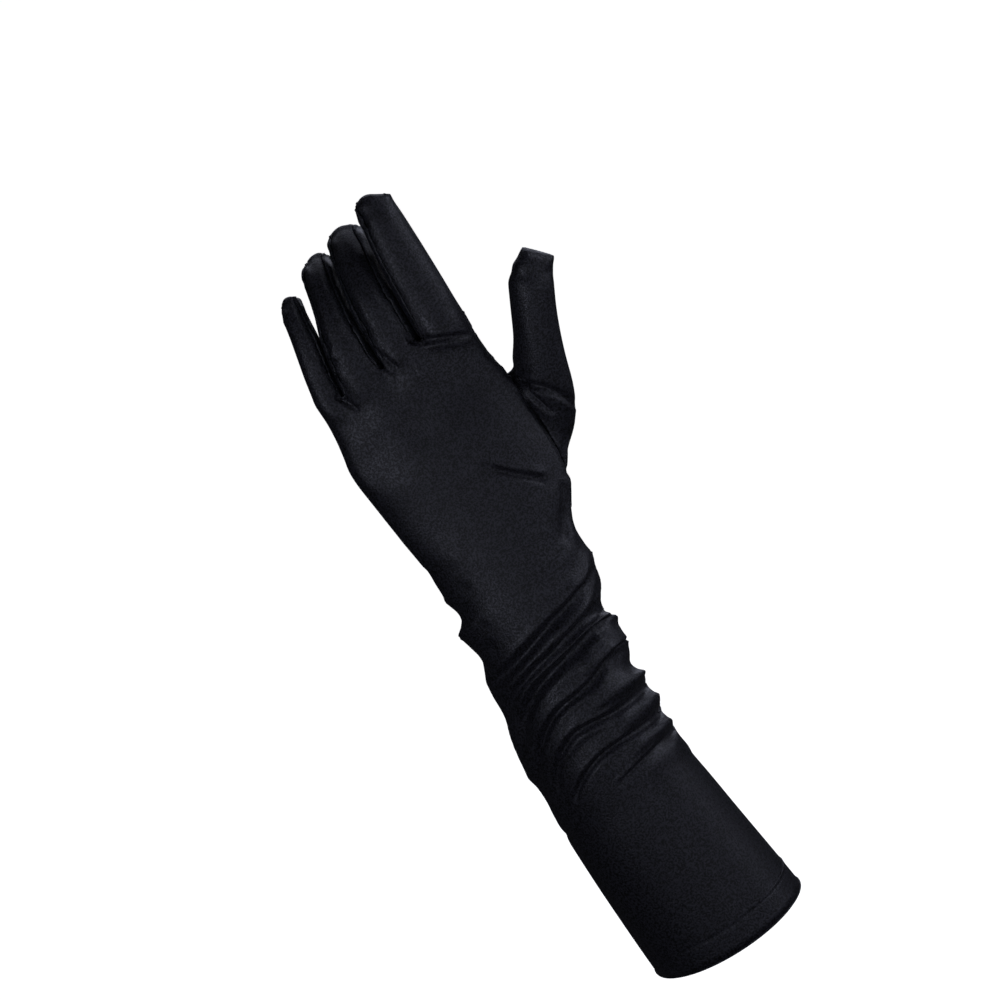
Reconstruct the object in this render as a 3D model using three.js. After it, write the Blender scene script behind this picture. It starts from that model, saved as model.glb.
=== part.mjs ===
// A long evening glove of stretch satin for a left hand, in the shape that it keeps while it is worn.
// The forearm runs up +Z from the middle of the cuff opening, the back of the hand looks along -Y and
// the thumb is on the +X side. The index finger is straight, the other fingers curl towards the palm.
//
// The cloth is one thin skin, described by rings of points: rings up the arm and the hand, which split
// into four finger rings at the webs, and rings round the thumb, which start from its opening. Each cut
// piece of cloth is a patch of that skin, given a thickness and kept a little clear of its neighbours.
import * as THREE from "three";

// Driving dimensions, in millimetres.
const WALL = 1.2; // the cloth shell
const SEAM_GAP = 0.5; // between two pieces at a seam
const SHARPEST_CORNER = 0.3; // limits how far a sharp corner of a piece is drawn back
const HEM_HEIGHT = 12; // the cloth turned up inside the cuff
const HEM_WALL = 1.0;
const HEM_GAP = 0.35; // between the turned-up cloth and the sleeve

// Cells of the skin. A finger's ring has its back, its radial side, its palm face and its ulnar side.
const ACROSS_FINGER = 4;
const DOWN_SIDE = 4;
const FINGER_NAMES = ["little", "ring", "middle", "index"]; // from the ulnar side to the radial side
const AROUND_FINGER = 2 * (ACROSS_FINGER + DOWN_SIDE);
const BACK_CELLS = FINGER_NAMES.length * ACROSS_FINGER;
const AROUND_ARM = 2 * (BACK_CELLS + DOWN_SIDE);
const FINGER_BOXINESS = 2.3;

// Sections of the arm and the hand at height z: the x of the ulnar and radial outline, the y of the back
// and the palm, and how boxy the section is (2 is an ellipse).
const SECTIONS = [
  { z: 0, ulnar: -37.4, radial: 37.0, back: -36.2, palm: 36.2, boxy: 2.0 },
  { z: 14.6, ulnar: -37.9, radial: 35.4, back: -35.4, palm: 35.4, boxy: 2.0 },
  { z: 42, ulnar: -38.4, radial: 32.2, back: -33.6, palm: 33.6, boxy: 2.0 },
  { z: 65, ulnar: -38.4, radial: 29.6, back: -32.0, palm: 31.8, boxy: 2.0 },
  { z: 88, ulnar: -37.4, radial: 27.2, back: -30.6, palm: 29.8, boxy: 2.0 },
  { z: 106.5, ulnar: -35.6, radial: 27.2, back: -29.4, palm: 28.2, boxy: 2.0 },
  { z: 125.5, ulnar: -33.2, radial: 28.2, back: -28.2, palm: 26.4, boxy: 2.05 },
  { z: 146.5, ulnar: -29.8, radial: 30.6, back: -26.8, palm: 24.2, boxy: 2.1 },
  { z: 159, ulnar: -28.0, radial: 32.8, back: -25.6, palm: 23.0, boxy: 2.1 },
  { z: 171.5, ulnar: -26.8, radial: 35.6, back: -23.8, palm: 22.2, boxy: 2.15 },
  { z: 186, ulnar: -25.6, radial: 38.0, back: -20.6, palm: 21.6, boxy: 2.2 },
  { z: 198.5, ulnar: -25.0, radial: 41.8, back: -17.4, palm: 21.8, boxy: 2.25 },
  { z: 214.5, ulnar: -26.2, radial: 48.2, back: -13.6, palm: 23.0, boxy: 2.3 },
  { z: 230, ulnar: -28.0, radial: 50.2, back: -10.2, palm: 24.6, boxy: 2.35 },
  { z: 247, ulnar: -29.6, radial: 50.0, back: -6.8, palm: 26.0, boxy: 2.4 },
  { z: 262.5, ulnar: -30.8, radial: 49.4, back: -3.8, palm: 26.6, boxy: 2.4 },
  { z: 276, ulnar: -29.8, radial: 48.8, back: -0.6, palm: 26.2, boxy: 2.4 },
  { z: 297, ulnar: -27.6, radial: 48.2, back: 3.4, palm: 25.6, boxy: 2.4 },
];

// Stations round the arm, in degrees: 0 is the radial side, 90 the back and 180 the ulnar side.
const STATIONS = { radial: 0, backRadial: 60, backUlnar: 118, ulnar: 172, palm: 270 };

// How far the folds sag towards the elbow round the arm, in mm, where the sag is full.
const SAG = { radial: -3.1, backRadial: 0, backUlnar: -6.3, ulnar: -37.5, palm: -16.7 };
// The share of that sag at each height up the arm, as measured on the radial side of the back.
const SAG_SHARE = [
  { t: 0, share: 0 },
  { t: 60.5, share: 0 },
  { t: 94, share: 0.46 },
  { t: 119, share: 0.78 },
  { t: 136, share: 0.95 },
  { t: 152.5, share: 1.0 },
  { t: 161, share: 0.72 },
  { t: 169.5, share: 0.36 },
  { t: 182, share: 0.08 },
  { t: 194.5, share: 0 },
  { t: 314, share: 0 },
];

// One row for each crest and each valley of the gathered sleeve, from the elbow up: how far it stands
// out of the plain section at each station.
const FOLDS = [
  { t: 83.5, radial: 0, backRadial: 0, backUlnar: 0, ulnar: 0, palm: 0 },
  { t: 90, radial: 0.9, backRadial: 0.6, backUlnar: 0.2, ulnar: 0, palm: 0.6 },
  { t: 94.5, radial: -0.6, backRadial: -0.9, backUlnar: -0.3, ulnar: 0, palm: -0.7 },
  { t: 101, radial: 1.6, backRadial: 1.7, backUlnar: 0.8, ulnar: 0.4, palm: 1.3 },
  { t: 106, radial: -1.0, backRadial: -1.6, backUlnar: -0.6, ulnar: 0, palm: -1.0 },
  { t: 113.5, radial: 1.8, backRadial: 1.9, backUlnar: 1.1, ulnar: 0.6, palm: 1.6 },
  { t: 120, radial: -1.2, backRadial: -1.7, backUlnar: -1.0, ulnar: -0.3, palm: -1.4 },
  { t: 124.5, radial: 0.8, backRadial: 1.3, backUlnar: 1.0, ulnar: 0.6, palm: 1.0 },
  { t: 130, radial: 0.8, backRadial: 1.9, backUlnar: 1.9, ulnar: 1.0, palm: 1.8 },
  { t: 136.5, radial: -0.8, backRadial: -2.0, backUlnar: -1.9, ulnar: -1.1, palm: -1.6 },
  { t: 141, radial: 0.9, backRadial: 1.4, backUlnar: 1.6, ulnar: 1.1, palm: 1.2 },
  { t: 146.5, radial: 1.8, backRadial: 2.2, backUlnar: 2.3, ulnar: 1.6, palm: 2.0 },
  { t: 152.5, radial: -1.0, backRadial: -2.6, backUlnar: -2.4, ulnar: -1.3, palm: -1.9 },
  { t: 156.5, radial: 0, backRadial: 0.8, backUlnar: 0.9, ulnar: 0.6, palm: 0.4 },
  { t: 159, radial: -0.4, backRadial: -0.8, backUlnar: -0.2, ulnar: 0.4, palm: 0 },
  { t: 163.5, radial: 0.8, backRadial: 1.6, backUlnar: 1.4, ulnar: 1.0, palm: 1.4 },
  { t: 169, radial: 0.4, backRadial: -1.3, backUlnar: -1.3, ulnar: -1.2, palm: -1.2 },
  { t: 175.5, radial: 1.0, backRadial: 0.9, backUlnar: 0.8, ulnar: 0.2, palm: 1.2 },
  { t: 182, radial: 0.6, backRadial: -0.3, backUlnar: 0, ulnar: 2.6, palm: -0.5 },
  { t: 188.5, radial: -0.4, backRadial: 0.3, backUlnar: 0, ulnar: -0.3, palm: 0.9 },
  { t: 194.5, radial: 0.2, backRadial: 0, backUlnar: 0, ulnar: 1.0, palm: -0.5 },
  { t: 200.5, radial: 0, backRadial: 0, backUlnar: 0, ulnar: -0.9, palm: 0.5 },
  { t: 207, radial: 0, backRadial: 0, backUlnar: 0, ulnar: 0.4, palm: 0 },
];

// Heights of the rings below and above the folds. The thumb opening takes the five cells between its ends.
const SLEEVE_RINGS = [0, 12.6, 29.5, 48, 67];
const THUMB_OPENING = { bottom: 214.5, top: 262.5, cells: 5, firstColumn: 17, columns: 7 };
const CORNER_ROUNDING = 0.6; // how far the opening's corners are cut, as a share of a corner cell
const KNUCKLE_RINGS = [272, 280.5, 288];
const WEB_BLEND = { from: 257.5, to: 295 }; // where the hand's section turns into four finger roots

// Finger rings from the web to the tip: the middle of the ring, its half width and its half depth.
const FINGERS = {
  little: [
    { x: -21.2, y: 17.0, z: 292, halfWidth: 5.9, halfDepth: 9.4 },
    { x: -20.4, y: 18.0, z: 300, halfWidth: 6.3, halfDepth: 8.4 },
    { x: -18.6, y: 19.5, z: 309, halfWidth: 6.5, halfDepth: 8.0 },
    { x: -16.6, y: 22.0, z: 318, halfWidth: 6.4, halfDepth: 7.8 },
    { x: -15.0, y: 26.0, z: 326, halfWidth: 6.3, halfDepth: 7.6 },
    { x: -13.9, y: 30.5, z: 332, halfWidth: 6.1, halfDepth: 7.2 },
    { x: -13.3, y: 35.0, z: 336, halfWidth: 5.8, halfDepth: 6.2 },
    { x: -13.0, y: 38.4, z: 338, halfWidth: 5.2, halfDepth: 4.2 },
    { x: -12.9, y: 40.2, z: 338.8, halfWidth: 4.2, halfDepth: 1.8 },
  ],
  ring: [
    { x: -5.0, y: 15.5, z: 295, halfWidth: 10.4, halfDepth: 10.4 },
    { x: -4.2, y: 16.5, z: 302.5, halfWidth: 9.2, halfDepth: 9.4 },
    { x: -3.0, y: 18.0, z: 311.5, halfWidth: 8.7, halfDepth: 9.0 },
    { x: -1.4, y: 21.0, z: 320, halfWidth: 8.4, halfDepth: 8.8 },
    { x: 0.5, y: 26.5, z: 328, halfWidth: 8.2, halfDepth: 8.6 },
    { x: 2.4, y: 33.5, z: 334.5, halfWidth: 8.0, halfDepth: 8.2 },
    { x: 4.0, y: 41.0, z: 339.5, halfWidth: 7.8, halfDepth: 7.8 },
    { x: 5.2, y: 48.0, z: 342, halfWidth: 7.4, halfDepth: 6.6 },
    { x: 6.0, y: 53.0, z: 343, halfWidth: 6.6, halfDepth: 4.4 },
    { x: 6.4, y: 56.0, z: 343.4, halfWidth: 5.4, halfDepth: 1.8 },
  ],
  middle: [
    { x: 14.8, y: 14.5, z: 296, halfWidth: 9.4, halfDepth: 10.6 },
    { x: 15.2, y: 15.5, z: 304, halfWidth: 8.4, halfDepth: 9.6 },
    { x: 16.0, y: 17.0, z: 314, halfWidth: 8.2, halfDepth: 9.2 },
    { x: 17.2, y: 20.0, z: 322.5, halfWidth: 8.3, halfDepth: 9.2 },
    { x: 18.4, y: 25.5, z: 330, halfWidth: 8.2, halfDepth: 9.0 },
    { x: 19.5, y: 32.5, z: 337, halfWidth: 8.1, halfDepth: 8.6 },
    { x: 20.5, y: 40.0, z: 342, halfWidth: 8.0, halfDepth: 8.2 },
    { x: 21.3, y: 47.0, z: 345.2, halfWidth: 7.7, halfDepth: 7.0 },
    { x: 21.9, y: 52.0, z: 346.4, halfWidth: 7.0, halfDepth: 4.6 },
    { x: 22.2, y: 55.0, z: 346.8, halfWidth: 5.8, halfDepth: 1.8 },
  ],
  index: [
    { x: 36.6, y: 13.5, z: 296, halfWidth: 11.9, halfDepth: 10.4 },
    { x: 38.1, y: 14.8, z: 304, halfWidth: 10.6, halfDepth: 9.8 },
    { x: 38.6, y: 16.4, z: 314, halfWidth: 10.3, halfDepth: 9.4 },
    { x: 38.9, y: 18.3, z: 325, halfWidth: 10.1, halfDepth: 9.2 },
    { x: 39.2, y: 20.4, z: 336, halfWidth: 9.9, halfDepth: 8.9 },
    { x: 39.5, y: 22.4, z: 345.5, halfWidth: 9.7, halfDepth: 8.4 },
    { x: 39.9, y: 24.2, z: 353.5, halfWidth: 9.5, halfDepth: 7.2 },
    { x: 40.4, y: 25.6, z: 358.5, halfWidth: 9.0, halfDepth: 5.0 },
    { x: 41.2, y: 26.4, z: 361.2, halfWidth: 7.6, halfDepth: 1.8 },
  ],
};

// Thumb rings: the edge next to the index finger, the outer edge, the y of the middle and the half depth.
const THUMB = [
  { innerX: 51.8, innerZ: 262.5, outerX: 57.0, outerZ: 221.5, y: 16.0, halfDepth: 12.6 },
  { innerX: 54.8, innerZ: 265.4, outerX: 64.4, outerZ: 229.0, y: 15.0, halfDepth: 12.8 },
  { innerX: 58.2, innerZ: 270.5, outerX: 71.0, outerZ: 240.5, y: 13.6, halfDepth: 12.4 },
  { innerX: 61.8, innerZ: 276.5, outerX: 75.4, outerZ: 254.0, y: 12.2, halfDepth: 11.6 },
  { innerX: 65.6, innerZ: 284.5, outerX: 79.8, outerZ: 267.0, y: 11.2, halfDepth: 10.8 },
  { innerX: 69.4, innerZ: 292.5, outerX: 85.0, outerZ: 279.5, y: 10.6, halfDepth: 10.0 },
  { innerX: 72.8, innerZ: 299.0, outerX: 90.0, outerZ: 289.5, y: 10.4, halfDepth: 8.8 },
  { innerX: 76.2, innerZ: 304.0, outerX: 93.4, outerZ: 295.8, y: 10.6, halfDepth: 6.0 },
  { innerX: 80.4, innerZ: 307.6, outerX: 93.8, outerZ: 299.4, y: 10.8, halfDepth: 2.2 },
];

const blackSatin = () => new THREE.MeshStandardMaterial({ color: 0x15171a, roughness: 0.45, metalness: 0 });

// The smooth value of one column of a table whose rows run up in their key column.
function columnAt(rows, key, name, at) {
  const last = rows.length - 1;
  const place = THREE.MathUtils.clamp(at, rows[0][key], rows[last][key]);
  let low = 0;
  while (low < last - 1 && rows[low + 1][key] < place) low++;
  const slope = (a, b) => (rows[b][name] - rows[a][name]) / (rows[b][key] - rows[a][key]);
  const span = rows[low + 1][key] - rows[low][key];
  const u = (place - rows[low][key]) / span;
  const leave = slope(Math.max(low - 1, 0), low + 1) * span;
  const arrive = slope(low, Math.min(low + 2, last)) * span;
  const start = rows[low][name];
  const rise = rows[low + 1][name] - start;
  const ease = u * u * (3 - 2 * u);
  return start + rise * ease + leave * u * (1 - u) * (1 - u) - arrive * u * u * (1 - u);
}

// The value of a row at an angle round the arm, eased from one station to the next.
function aroundArm(row, angle) {
  const turn = THREE.MathUtils.euclideanModulo(angle, 360);
  const names = Object.keys(STATIONS);
  const after = names.findIndex((name) => STATIONS[name] > turn);
  const next = after < 0 ? names[0] : names[after];
  const previous = after < 0 ? names[names.length - 1] : names[after - 1];
  const end = after < 0 ? 360 : STATIONS[next];
  const share = THREE.MathUtils.smoothstep(turn, STATIONS[previous], end);
  return row[previous] + (row[next] - row[previous]) * share;
}

// The unit superellipse: how far along the width and towards the back an angle lies.
function onSection(angle, boxy) {
  const [c, s] = [Math.cos(angle * THREE.MathUtils.DEG2RAD), Math.sin(angle * THREE.MathUtils.DEG2RAD)];
  const power = (value) => Math.sign(value) * Math.abs(value) ** (2 / boxy);
  return { along: power(c), back: power(s) };
}

// The angle of a ring's point: rings start at the ulnar corner of the back and run over it to the thumb side.
const ringAngle = (index, count) => 180 - (360 / count) * (index + DOWN_SIDE / 2);

function foldLift(t, angle) {
  const first = FOLDS[0].t;
  const last = FOLDS[FOLDS.length - 1].t;
  if (t <= first || t >= last) return 0;
  const lifts = FOLDS.map((row) => ({ t: row.t, lift: aroundArm(row, angle) }));
  return columnAt(lifts, "t", "lift", t);
}

function armPoint(t, index) {
  const angle = ringAngle(index, AROUND_ARM);
  const z = t + aroundArm(SAG, angle) * columnAt(SAG_SHARE, "t", "share", t);
  const at = (name) => columnAt(SECTIONS, "z", name, z);
  const { along, back } = onSection(angle, at("boxy"));
  const lift = foldLift(t, angle);
  const middleX = (at("ulnar") + at("radial")) / 2;
  const middleY = (at("back") + at("palm")) / 2;
  const halfWidth = (at("radial") - at("ulnar")) / 2 + lift;
  const halfDepth = (at("palm") - at("back")) / 2 + lift;
  return new THREE.Vector3(middleX + halfWidth * along, middleY - halfDepth * back, z);
}

// The ring of a finger at one row of its table, square to the line through its neighbours.
function fingerRing(rows, level) {
  const middle = (row) => new THREE.Vector3(row.x, row.y, row.z);
  const from = middle(rows[Math.max(level - 1, 0)]);
  const to = middle(rows[Math.min(level + 1, rows.length - 1)]);
  const axis = to.sub(from).normalize();
  const across = new THREE.Vector3(1, 0, 0).addScaledVector(axis, -axis.x).normalize();
  const towardsPalm = new THREE.Vector3().crossVectors(axis, across);
  return Array.from({ length: AROUND_FINGER }, (_, index) => {
    const { along, back } = onSection(ringAngle(index, AROUND_FINGER), FINGER_BOXINESS);
    return middle(rows[level])
      .addScaledVector(across, rows[level].halfWidth * along)
      .addScaledVector(towardsPalm, -rows[level].halfDepth * back);
  });
}

// The skin: shared points, and faces that each belong to one piece of cloth.
const points = [];
const faces = [];
const addPoint = (point) => points.push(point) - 1;
const addRing = (ring) => ring.map(addPoint);

function loft(below, above, pieceOf, skip = () => false) {
  const count = below.length;
  for (let k = 0; k < count; k++) {
    const next = (k + 1) % count;
    if (!skip(k)) faces.push({ piece: pieceOf(k), corners: [below[k], below[next], above[next], above[k]] });
  }
}

// Which piece covers a column of the arm, and which covers a column of a finger.
const SIDE_SEAM = BACK_CELLS + DOWN_SIDE / 2; // the column where the back meets the palm, on the radial side
const armPiece = (k) => (k < SIDE_SEAM || k >= SIDE_SEAM + AROUND_ARM / 2 ? "back_panel" : "palm_panel");

function fingerPiece(finger, k) {
  const radialSide = ACROSS_FINGER;
  const palmFace = radialSide + DOWN_SIDE;
  const ulnarSide = palmFace + ACROSS_FINGER;
  if (k < radialSide) return "back_panel";
  if (k >= palmFace && k < ulnarSide) return "palm_panel";
  if (k < palmFace && finger === FINGER_NAMES.length - 1) {
    return k < radialSide + DOWN_SIDE / 2 ? "back_panel" : "palm_panel";
  }
  if (k >= ulnarSide && finger === 0) return k < ulnarSide + DOWN_SIDE / 2 ? "palm_panel" : "back_panel";
  const gap = k < palmFace ? finger : finger - 1;
  return `fourchette_${FINGER_NAMES[gap]}_${FINGER_NAMES[gap + 1]}`;
}

// Finger roots: neighbours share the column of points down their web.
const roots = FINGER_NAMES.map((name) => fingerRing(FINGERS[name], 0));
for (let finger = 0; finger + 1 < roots.length; finger++) {
  for (let m = 0; m <= DOWN_SIDE; m++) {
    const mine = roots[finger][ACROSS_FINGER + m];
    const theirs = roots[finger + 1][(AROUND_FINGER - m) % AROUND_FINGER];
    mine.lerp(theirs, 0.5);
    theirs.copy(mine);
  }
}
const radialSideOf = (ring) => ring.slice(ACROSS_FINGER, ACROSS_FINGER + DOWN_SIDE + 1);
const webColumns = roots.slice(0, -1).map((ring) => addRing(radialSideOf(ring)));

// The point of a finger root at each column of the hand's top ring.
function rootOfColumn(column) {
  if (column <= BACK_CELLS) {
    const finger = Math.min(Math.floor(column / ACROSS_FINGER), FINGER_NAMES.length - 1);
    return { finger, k: column - finger * ACROSS_FINGER };
  }
  const palmStart = BACK_CELLS + DOWN_SIDE;
  if (column < palmStart) return { finger: FINGER_NAMES.length - 1, k: ACROSS_FINGER + column - BACK_CELLS };
  const across = column - palmStart;
  const finger = Math.max(FINGER_NAMES.length - 1 - Math.floor(across / ACROSS_FINGER), 0);
  const passed = (FINGER_NAMES.length - 1 - finger) * ACROSS_FINGER;
  return { finger, k: (ACROSS_FINGER + DOWN_SIDE + across - passed) % AROUND_FINGER };
}
const topPoint = (column) => {
  const { finger, k } = rootOfColumn(column);
  return roots[finger][k];
};

// Where the top ring meets a web it uses the web's own points.
function topIndex(column) {
  const { finger, k } = rootOfColumn(column);
  if (column > 0 && column < BACK_CELLS && k === 0) return webColumns[finger - 1][0];
  const palmWeb = k === ACROSS_FINGER + DOWN_SIDE && finger < FINGER_NAMES.length - 1;
  return palmWeb ? webColumns[finger][DOWN_SIDE] : addPoint(topPoint(column));
}
const columns = Array.from({ length: AROUND_ARM }, (_, column) => column);
const topRing = columns.map(topIndex);

// Arm and hand, from the cuff to the webs.
const openingRings = Array.from({ length: THUMB_OPENING.cells + 1 }, (_, row) =>
  THREE.MathUtils.lerp(THUMB_OPENING.bottom, THUMB_OPENING.top, row / THUMB_OPENING.cells),
);
const armHeights = [...SLEEVE_RINGS, ...FOLDS.map((row) => row.t), ...openingRings, ...KNUCKLE_RINGS];
const armRings = armHeights.map((t) => {
  const share = THREE.MathUtils.smoothstep(t, WEB_BLEND.from, WEB_BLEND.to);
  return addRing(
    columns.map((column) => {
      const goal = topPoint(column).clone();
      goal.z += t - WEB_BLEND.to;
      return armPoint(t, column).lerp(goal, share);
    }),
  );
});
armRings.push(topRing);

// The thumb opening is a block of cells without its four corner cells, with points by row and column.
const openingStart = armHeights.indexOf(THUMB_OPENING.bottom);
const openingPoint = (row, column) => armRings[openingStart + row][THUMB_OPENING.firstColumn + column];
const OPENING_CORNERS = [
  { row: 0, column: 0, up: 1, along: 1 },
  { row: 0, column: THUMB_OPENING.columns, up: 1, along: -1 },
  { row: THUMB_OPENING.cells, column: THUMB_OPENING.columns, up: -1, along: -1 },
  { row: THUMB_OPENING.cells, column: 0, up: -1, along: 1 },
];
for (const { row, column, up, along } of OPENING_CORNERS) {
  const beside = [openingPoint(row + up, column), openingPoint(row, column + along)];
  const chord = points[beside[0]].clone().lerp(points[beside[1]], 0.5);
  points[openingPoint(row + up, column + along)].lerp(chord, CORNER_ROUNDING);
}

function inOpening(level, k) {
  const [row, column] = [level - openingStart, k - THUMB_OPENING.firstColumn];
  const [lastRow, lastColumn] = [THUMB_OPENING.cells - 1, THUMB_OPENING.columns - 1];
  const inside = row >= 0 && row <= lastRow && column >= 0 && column <= lastColumn;
  const atCorner = (row === 0 || row === lastRow) && (column === 0 || column === lastColumn);
  return inside && !atCorner;
}
for (let level = 0; level + 1 < armRings.length; level++) {
  loft(armRings[level], armRings[level + 1], armPiece, (k) => inOpening(level, k));
}

// Fingers, closed at the tip by a narrow strip of the palm panel.
function closeFingerTip(ring) {
  const backEnd = ACROSS_FINGER;
  const palmStart = ACROSS_FINGER + DOWN_SIDE;
  const palmEnd = palmStart + ACROSS_FINGER;
  for (let k = 0; k < backEnd; k++) {
    const corners = [k, k + 1, palmEnd - k - 1, palmEnd - k].map((n) => ring[n]);
    faces.push({ piece: "palm_panel", corners });
  }
  for (const start of [backEnd, palmEnd]) {
    for (let m = 1; m < DOWN_SIDE; m++) {
      const [second, third] = [start + m, (start + m + 1) % AROUND_FINGER];
      faces.push({ piece: "palm_panel", corners: [ring[start], ring[second], ring[third]] });
    }
  }
}

function rootIndex(finger, k) {
  const column = columns.find((c) => rootOfColumn(c).finger === finger && rootOfColumn(c).k === k);
  if (k >= ACROSS_FINGER && k <= ACROSS_FINGER + DOWN_SIDE && finger < webColumns.length) {
    return webColumns[finger][k - ACROSS_FINGER];
  }
  const fromUlnar = (AROUND_FINGER - k) % AROUND_FINGER;
  if (fromUlnar <= DOWN_SIDE && finger > 0) return webColumns[finger - 1][fromUlnar];
  return topRing[column];
}

FINGER_NAMES.forEach((name, finger) => {
  let below = Array.from({ length: AROUND_FINGER }, (_, k) => rootIndex(finger, k));
  for (let level = 1; level < FINGERS[name].length; level++) {
    const above = addRing(fingerRing(FINGERS[name], level));
    loft(below, above, (k) => fingerPiece(finger, k));
    below = above;
  }
  closeFingerTip(below);
});

// Thumb: its rings start from the edge of the opening, which runs anticlockwise seen from the thumb's tip.
function openingEdge() {
  const { cells, columns: width } = THUMB_OPENING;
  const at = (row, column) => {
    const corner = OPENING_CORNERS.find((one) => one.row === row && one.column === column);
    return corner ? openingPoint(row + corner.up, column + corner.along) : openingPoint(row, column);
  };
  const edge = [];
  for (let n = 0; n < width; n++) edge.push(at(0, n));
  for (let n = 0; n < cells; n++) edge.push(at(n, width));
  for (let n = width; n > 0; n--) edge.push(at(cells, n));
  for (let n = cells; n > 0; n--) edge.push(at(n, 0));
  return edge;
}

function thumbRing(row, count) {
  const middle = new THREE.Vector3((row.innerX + row.outerX) / 2, row.y, (row.innerZ + row.outerZ) / 2);
  const inward = new THREE.Vector3(row.innerX - row.outerX, 0, row.innerZ - row.outerZ).multiplyScalar(0.5);
  const firstAngle = 270 - (180 * THUMB_OPENING.columns) / count; // the outer edge is at 270 degrees
  return Array.from({ length: count }, (_, k) => {
    const { along, back } = onSection(firstAngle + (360 * k) / count, FINGER_BOXINESS);
    return middle.clone().addScaledVector(inward, back).add(new THREE.Vector3(0, row.halfDepth * along, 0));
  });
}

let thumbBelow = openingEdge();
const aroundThumb = thumbBelow.length;
for (const row of THUMB) {
  const above = addRing(thumbRing(row, aroundThumb));
  loft(thumbBelow, above, () => "thumb");
  thumbBelow = above;
}
// The tip's strips run from the palm side to the back side, in pairs of points that face each other.
const mirrored = (k) => THREE.MathUtils.euclideanModulo(THUMB_OPENING.columns - k, aroundThumb);
const firstPair = Math.ceil((THUMB_OPENING.columns + 1) / 2);
for (let k = firstPair; k < firstPair + aroundThumb / 2 - 1; k++) {
  const corners = [k, k + 1, mirrored(k + 1), mirrored(k)].map((n) => thumbBelow[n % aroundThumb]);
  faces.push({ piece: "thumb", corners });
}

// Outward normals of the whole skin, so that two pieces agree on the direction of their seam.
const normals = points.map(() => new THREE.Vector3());
for (const { corners } of faces) {
  const [a, b, c] = corners.map((n) => points[n]);
  const last = points[corners.at(-1)];
  const facing = c.clone().sub(a).cross(last.clone().sub(b));
  corners.forEach((n) => normals[n].add(facing));
}
normals.forEach((normal) => normal.normalize());

const edgeKey = (a, b) => (a < b ? `${a} ${b}` : `${b} ${a}`);
const piecesAtEdge = new Map();
for (const { piece, corners } of faces) {
  corners.forEach((corner, n) => {
    const key = edgeKey(corner, corners[(n + 1) % corners.length]);
    piecesAtEdge.set(key, [...(piecesAtEdge.get(key) ?? []), piece]);
  });
}

function meshOf(name, positions, triangles) {
  const geometry = new THREE.BufferGeometry().setFromPoints(positions);
  geometry.setIndex(triangles.flat());
  const mesh = new THREE.Mesh(geometry, blackSatin());
  mesh.name = name;
  return mesh;
}

const trianglesOf = (corners) => {
  const fan = [];
  for (let n = 1; n + 1 < corners.length; n++) fan.push([corners[0], corners[n], corners[n + 1]]);
  return fan;
};

// How far a point of a seam is drawn back so that both its edges clear the seam by the same distance.
function drawBack(edges, normal) {
  const inward = edges.map(([a, b]) => points[b].clone().sub(points[a]).cross(normal).negate().normalize());
  const sum = inward.reduce((total, direction) => total.add(direction), new THREE.Vector3());
  const share = inward.length === 1 ? 1 : 2 / Math.max(sum.lengthSq(), SHARPEST_CORNER);
  return sum.multiplyScalar((share * SEAM_GAP) / 2);
}

// One piece of cloth: its patch of the skin, drawn back from its seams and thickened inwards.
function clothPiece(name) {
  const mine = faces.filter((face) => face.piece === name);
  const used = [...new Set(mine.flatMap((face) => face.corners))];
  const seamEdges = new Map(used.map((n) => [n, []]));
  const rim = [];
  for (const { corners } of mine) {
    corners.forEach((corner, n) => {
      const edge = [corner, corners[(n + 1) % corners.length]];
      const owners = piecesAtEdge.get(edgeKey(...edge));
      if (owners.filter((owner) => owner === name).length === 1) rim.push(edge);
      if (owners.some((owner) => owner !== name)) edge.forEach((m) => seamEdges.get(m).push(edge));
    });
  }
  const place = new Map(used.map((n, order) => [n, order]));
  const outer = used.map((n) => points[n].clone().add(drawBack(seamEdges.get(n), normals[n])));
  const inner = outer.map((point, order) => point.clone().addScaledVector(normals[used[order]], -WALL));
  const outside = mine.flatMap(({ corners }) => trianglesOf(corners.map((n) => place.get(n))));
  const inside = outside.map(([a, b, c]) => [a + used.length, c + used.length, b + used.length]);
  const walls = rim.flatMap(([a, b]) => {
    const [p, q] = [place.get(a), place.get(b)];
    const [pInner, qInner] = [p + used.length, q + used.length];
    // Both pieces at a seam split its wall along the same diagonal.
    if (a > b) return [[q, p, qInner], [p, pInner, qInner]];
    return [[q, p, pInner], [q, pInner, qInner]];
  });
  return meshOf(name, [...outer, ...inner], [...outside, ...inside, ...walls]);
}

// The hem: a band of cloth turned up inside the cuff.
function hemBand() {
  const heights = [0, HEM_HEIGHT];
  const count = AROUND_ARM;
  const ringAt = (t, depth) =>
    columns.map((column) => {
      const point = armPoint(t, column);
      const outward = new THREE.Vector3(point.x, point.y, 0).normalize();
      return point.addScaledVector(outward, -depth);
    });
  const clear = WALL + HEM_GAP;
  const rings = [
    ...heights.map((t) => ringAt(t, clear)),
    ...heights.toReversed().map((t) => ringAt(t, clear + HEM_WALL)),
  ];
  const triangles = rings.flatMap((_, level) =>
    columns.flatMap((k) => {
      const [below, above] = [level * count, ((level + 1) % rings.length) * count];
      const next = (k + 1) % count;
      return [
        [below + k, below + next, above + next],
        [below + k, above + next, above + k],
      ];
    }),
  );
  return meshOf("hem", rings.flat(), triangles);
}

const glove = new THREE.Group();
for (const name of new Set(faces.map((face) => face.piece))) glove.add(clothPiece(name));
glove.add(hemBand());

export default glove;
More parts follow.
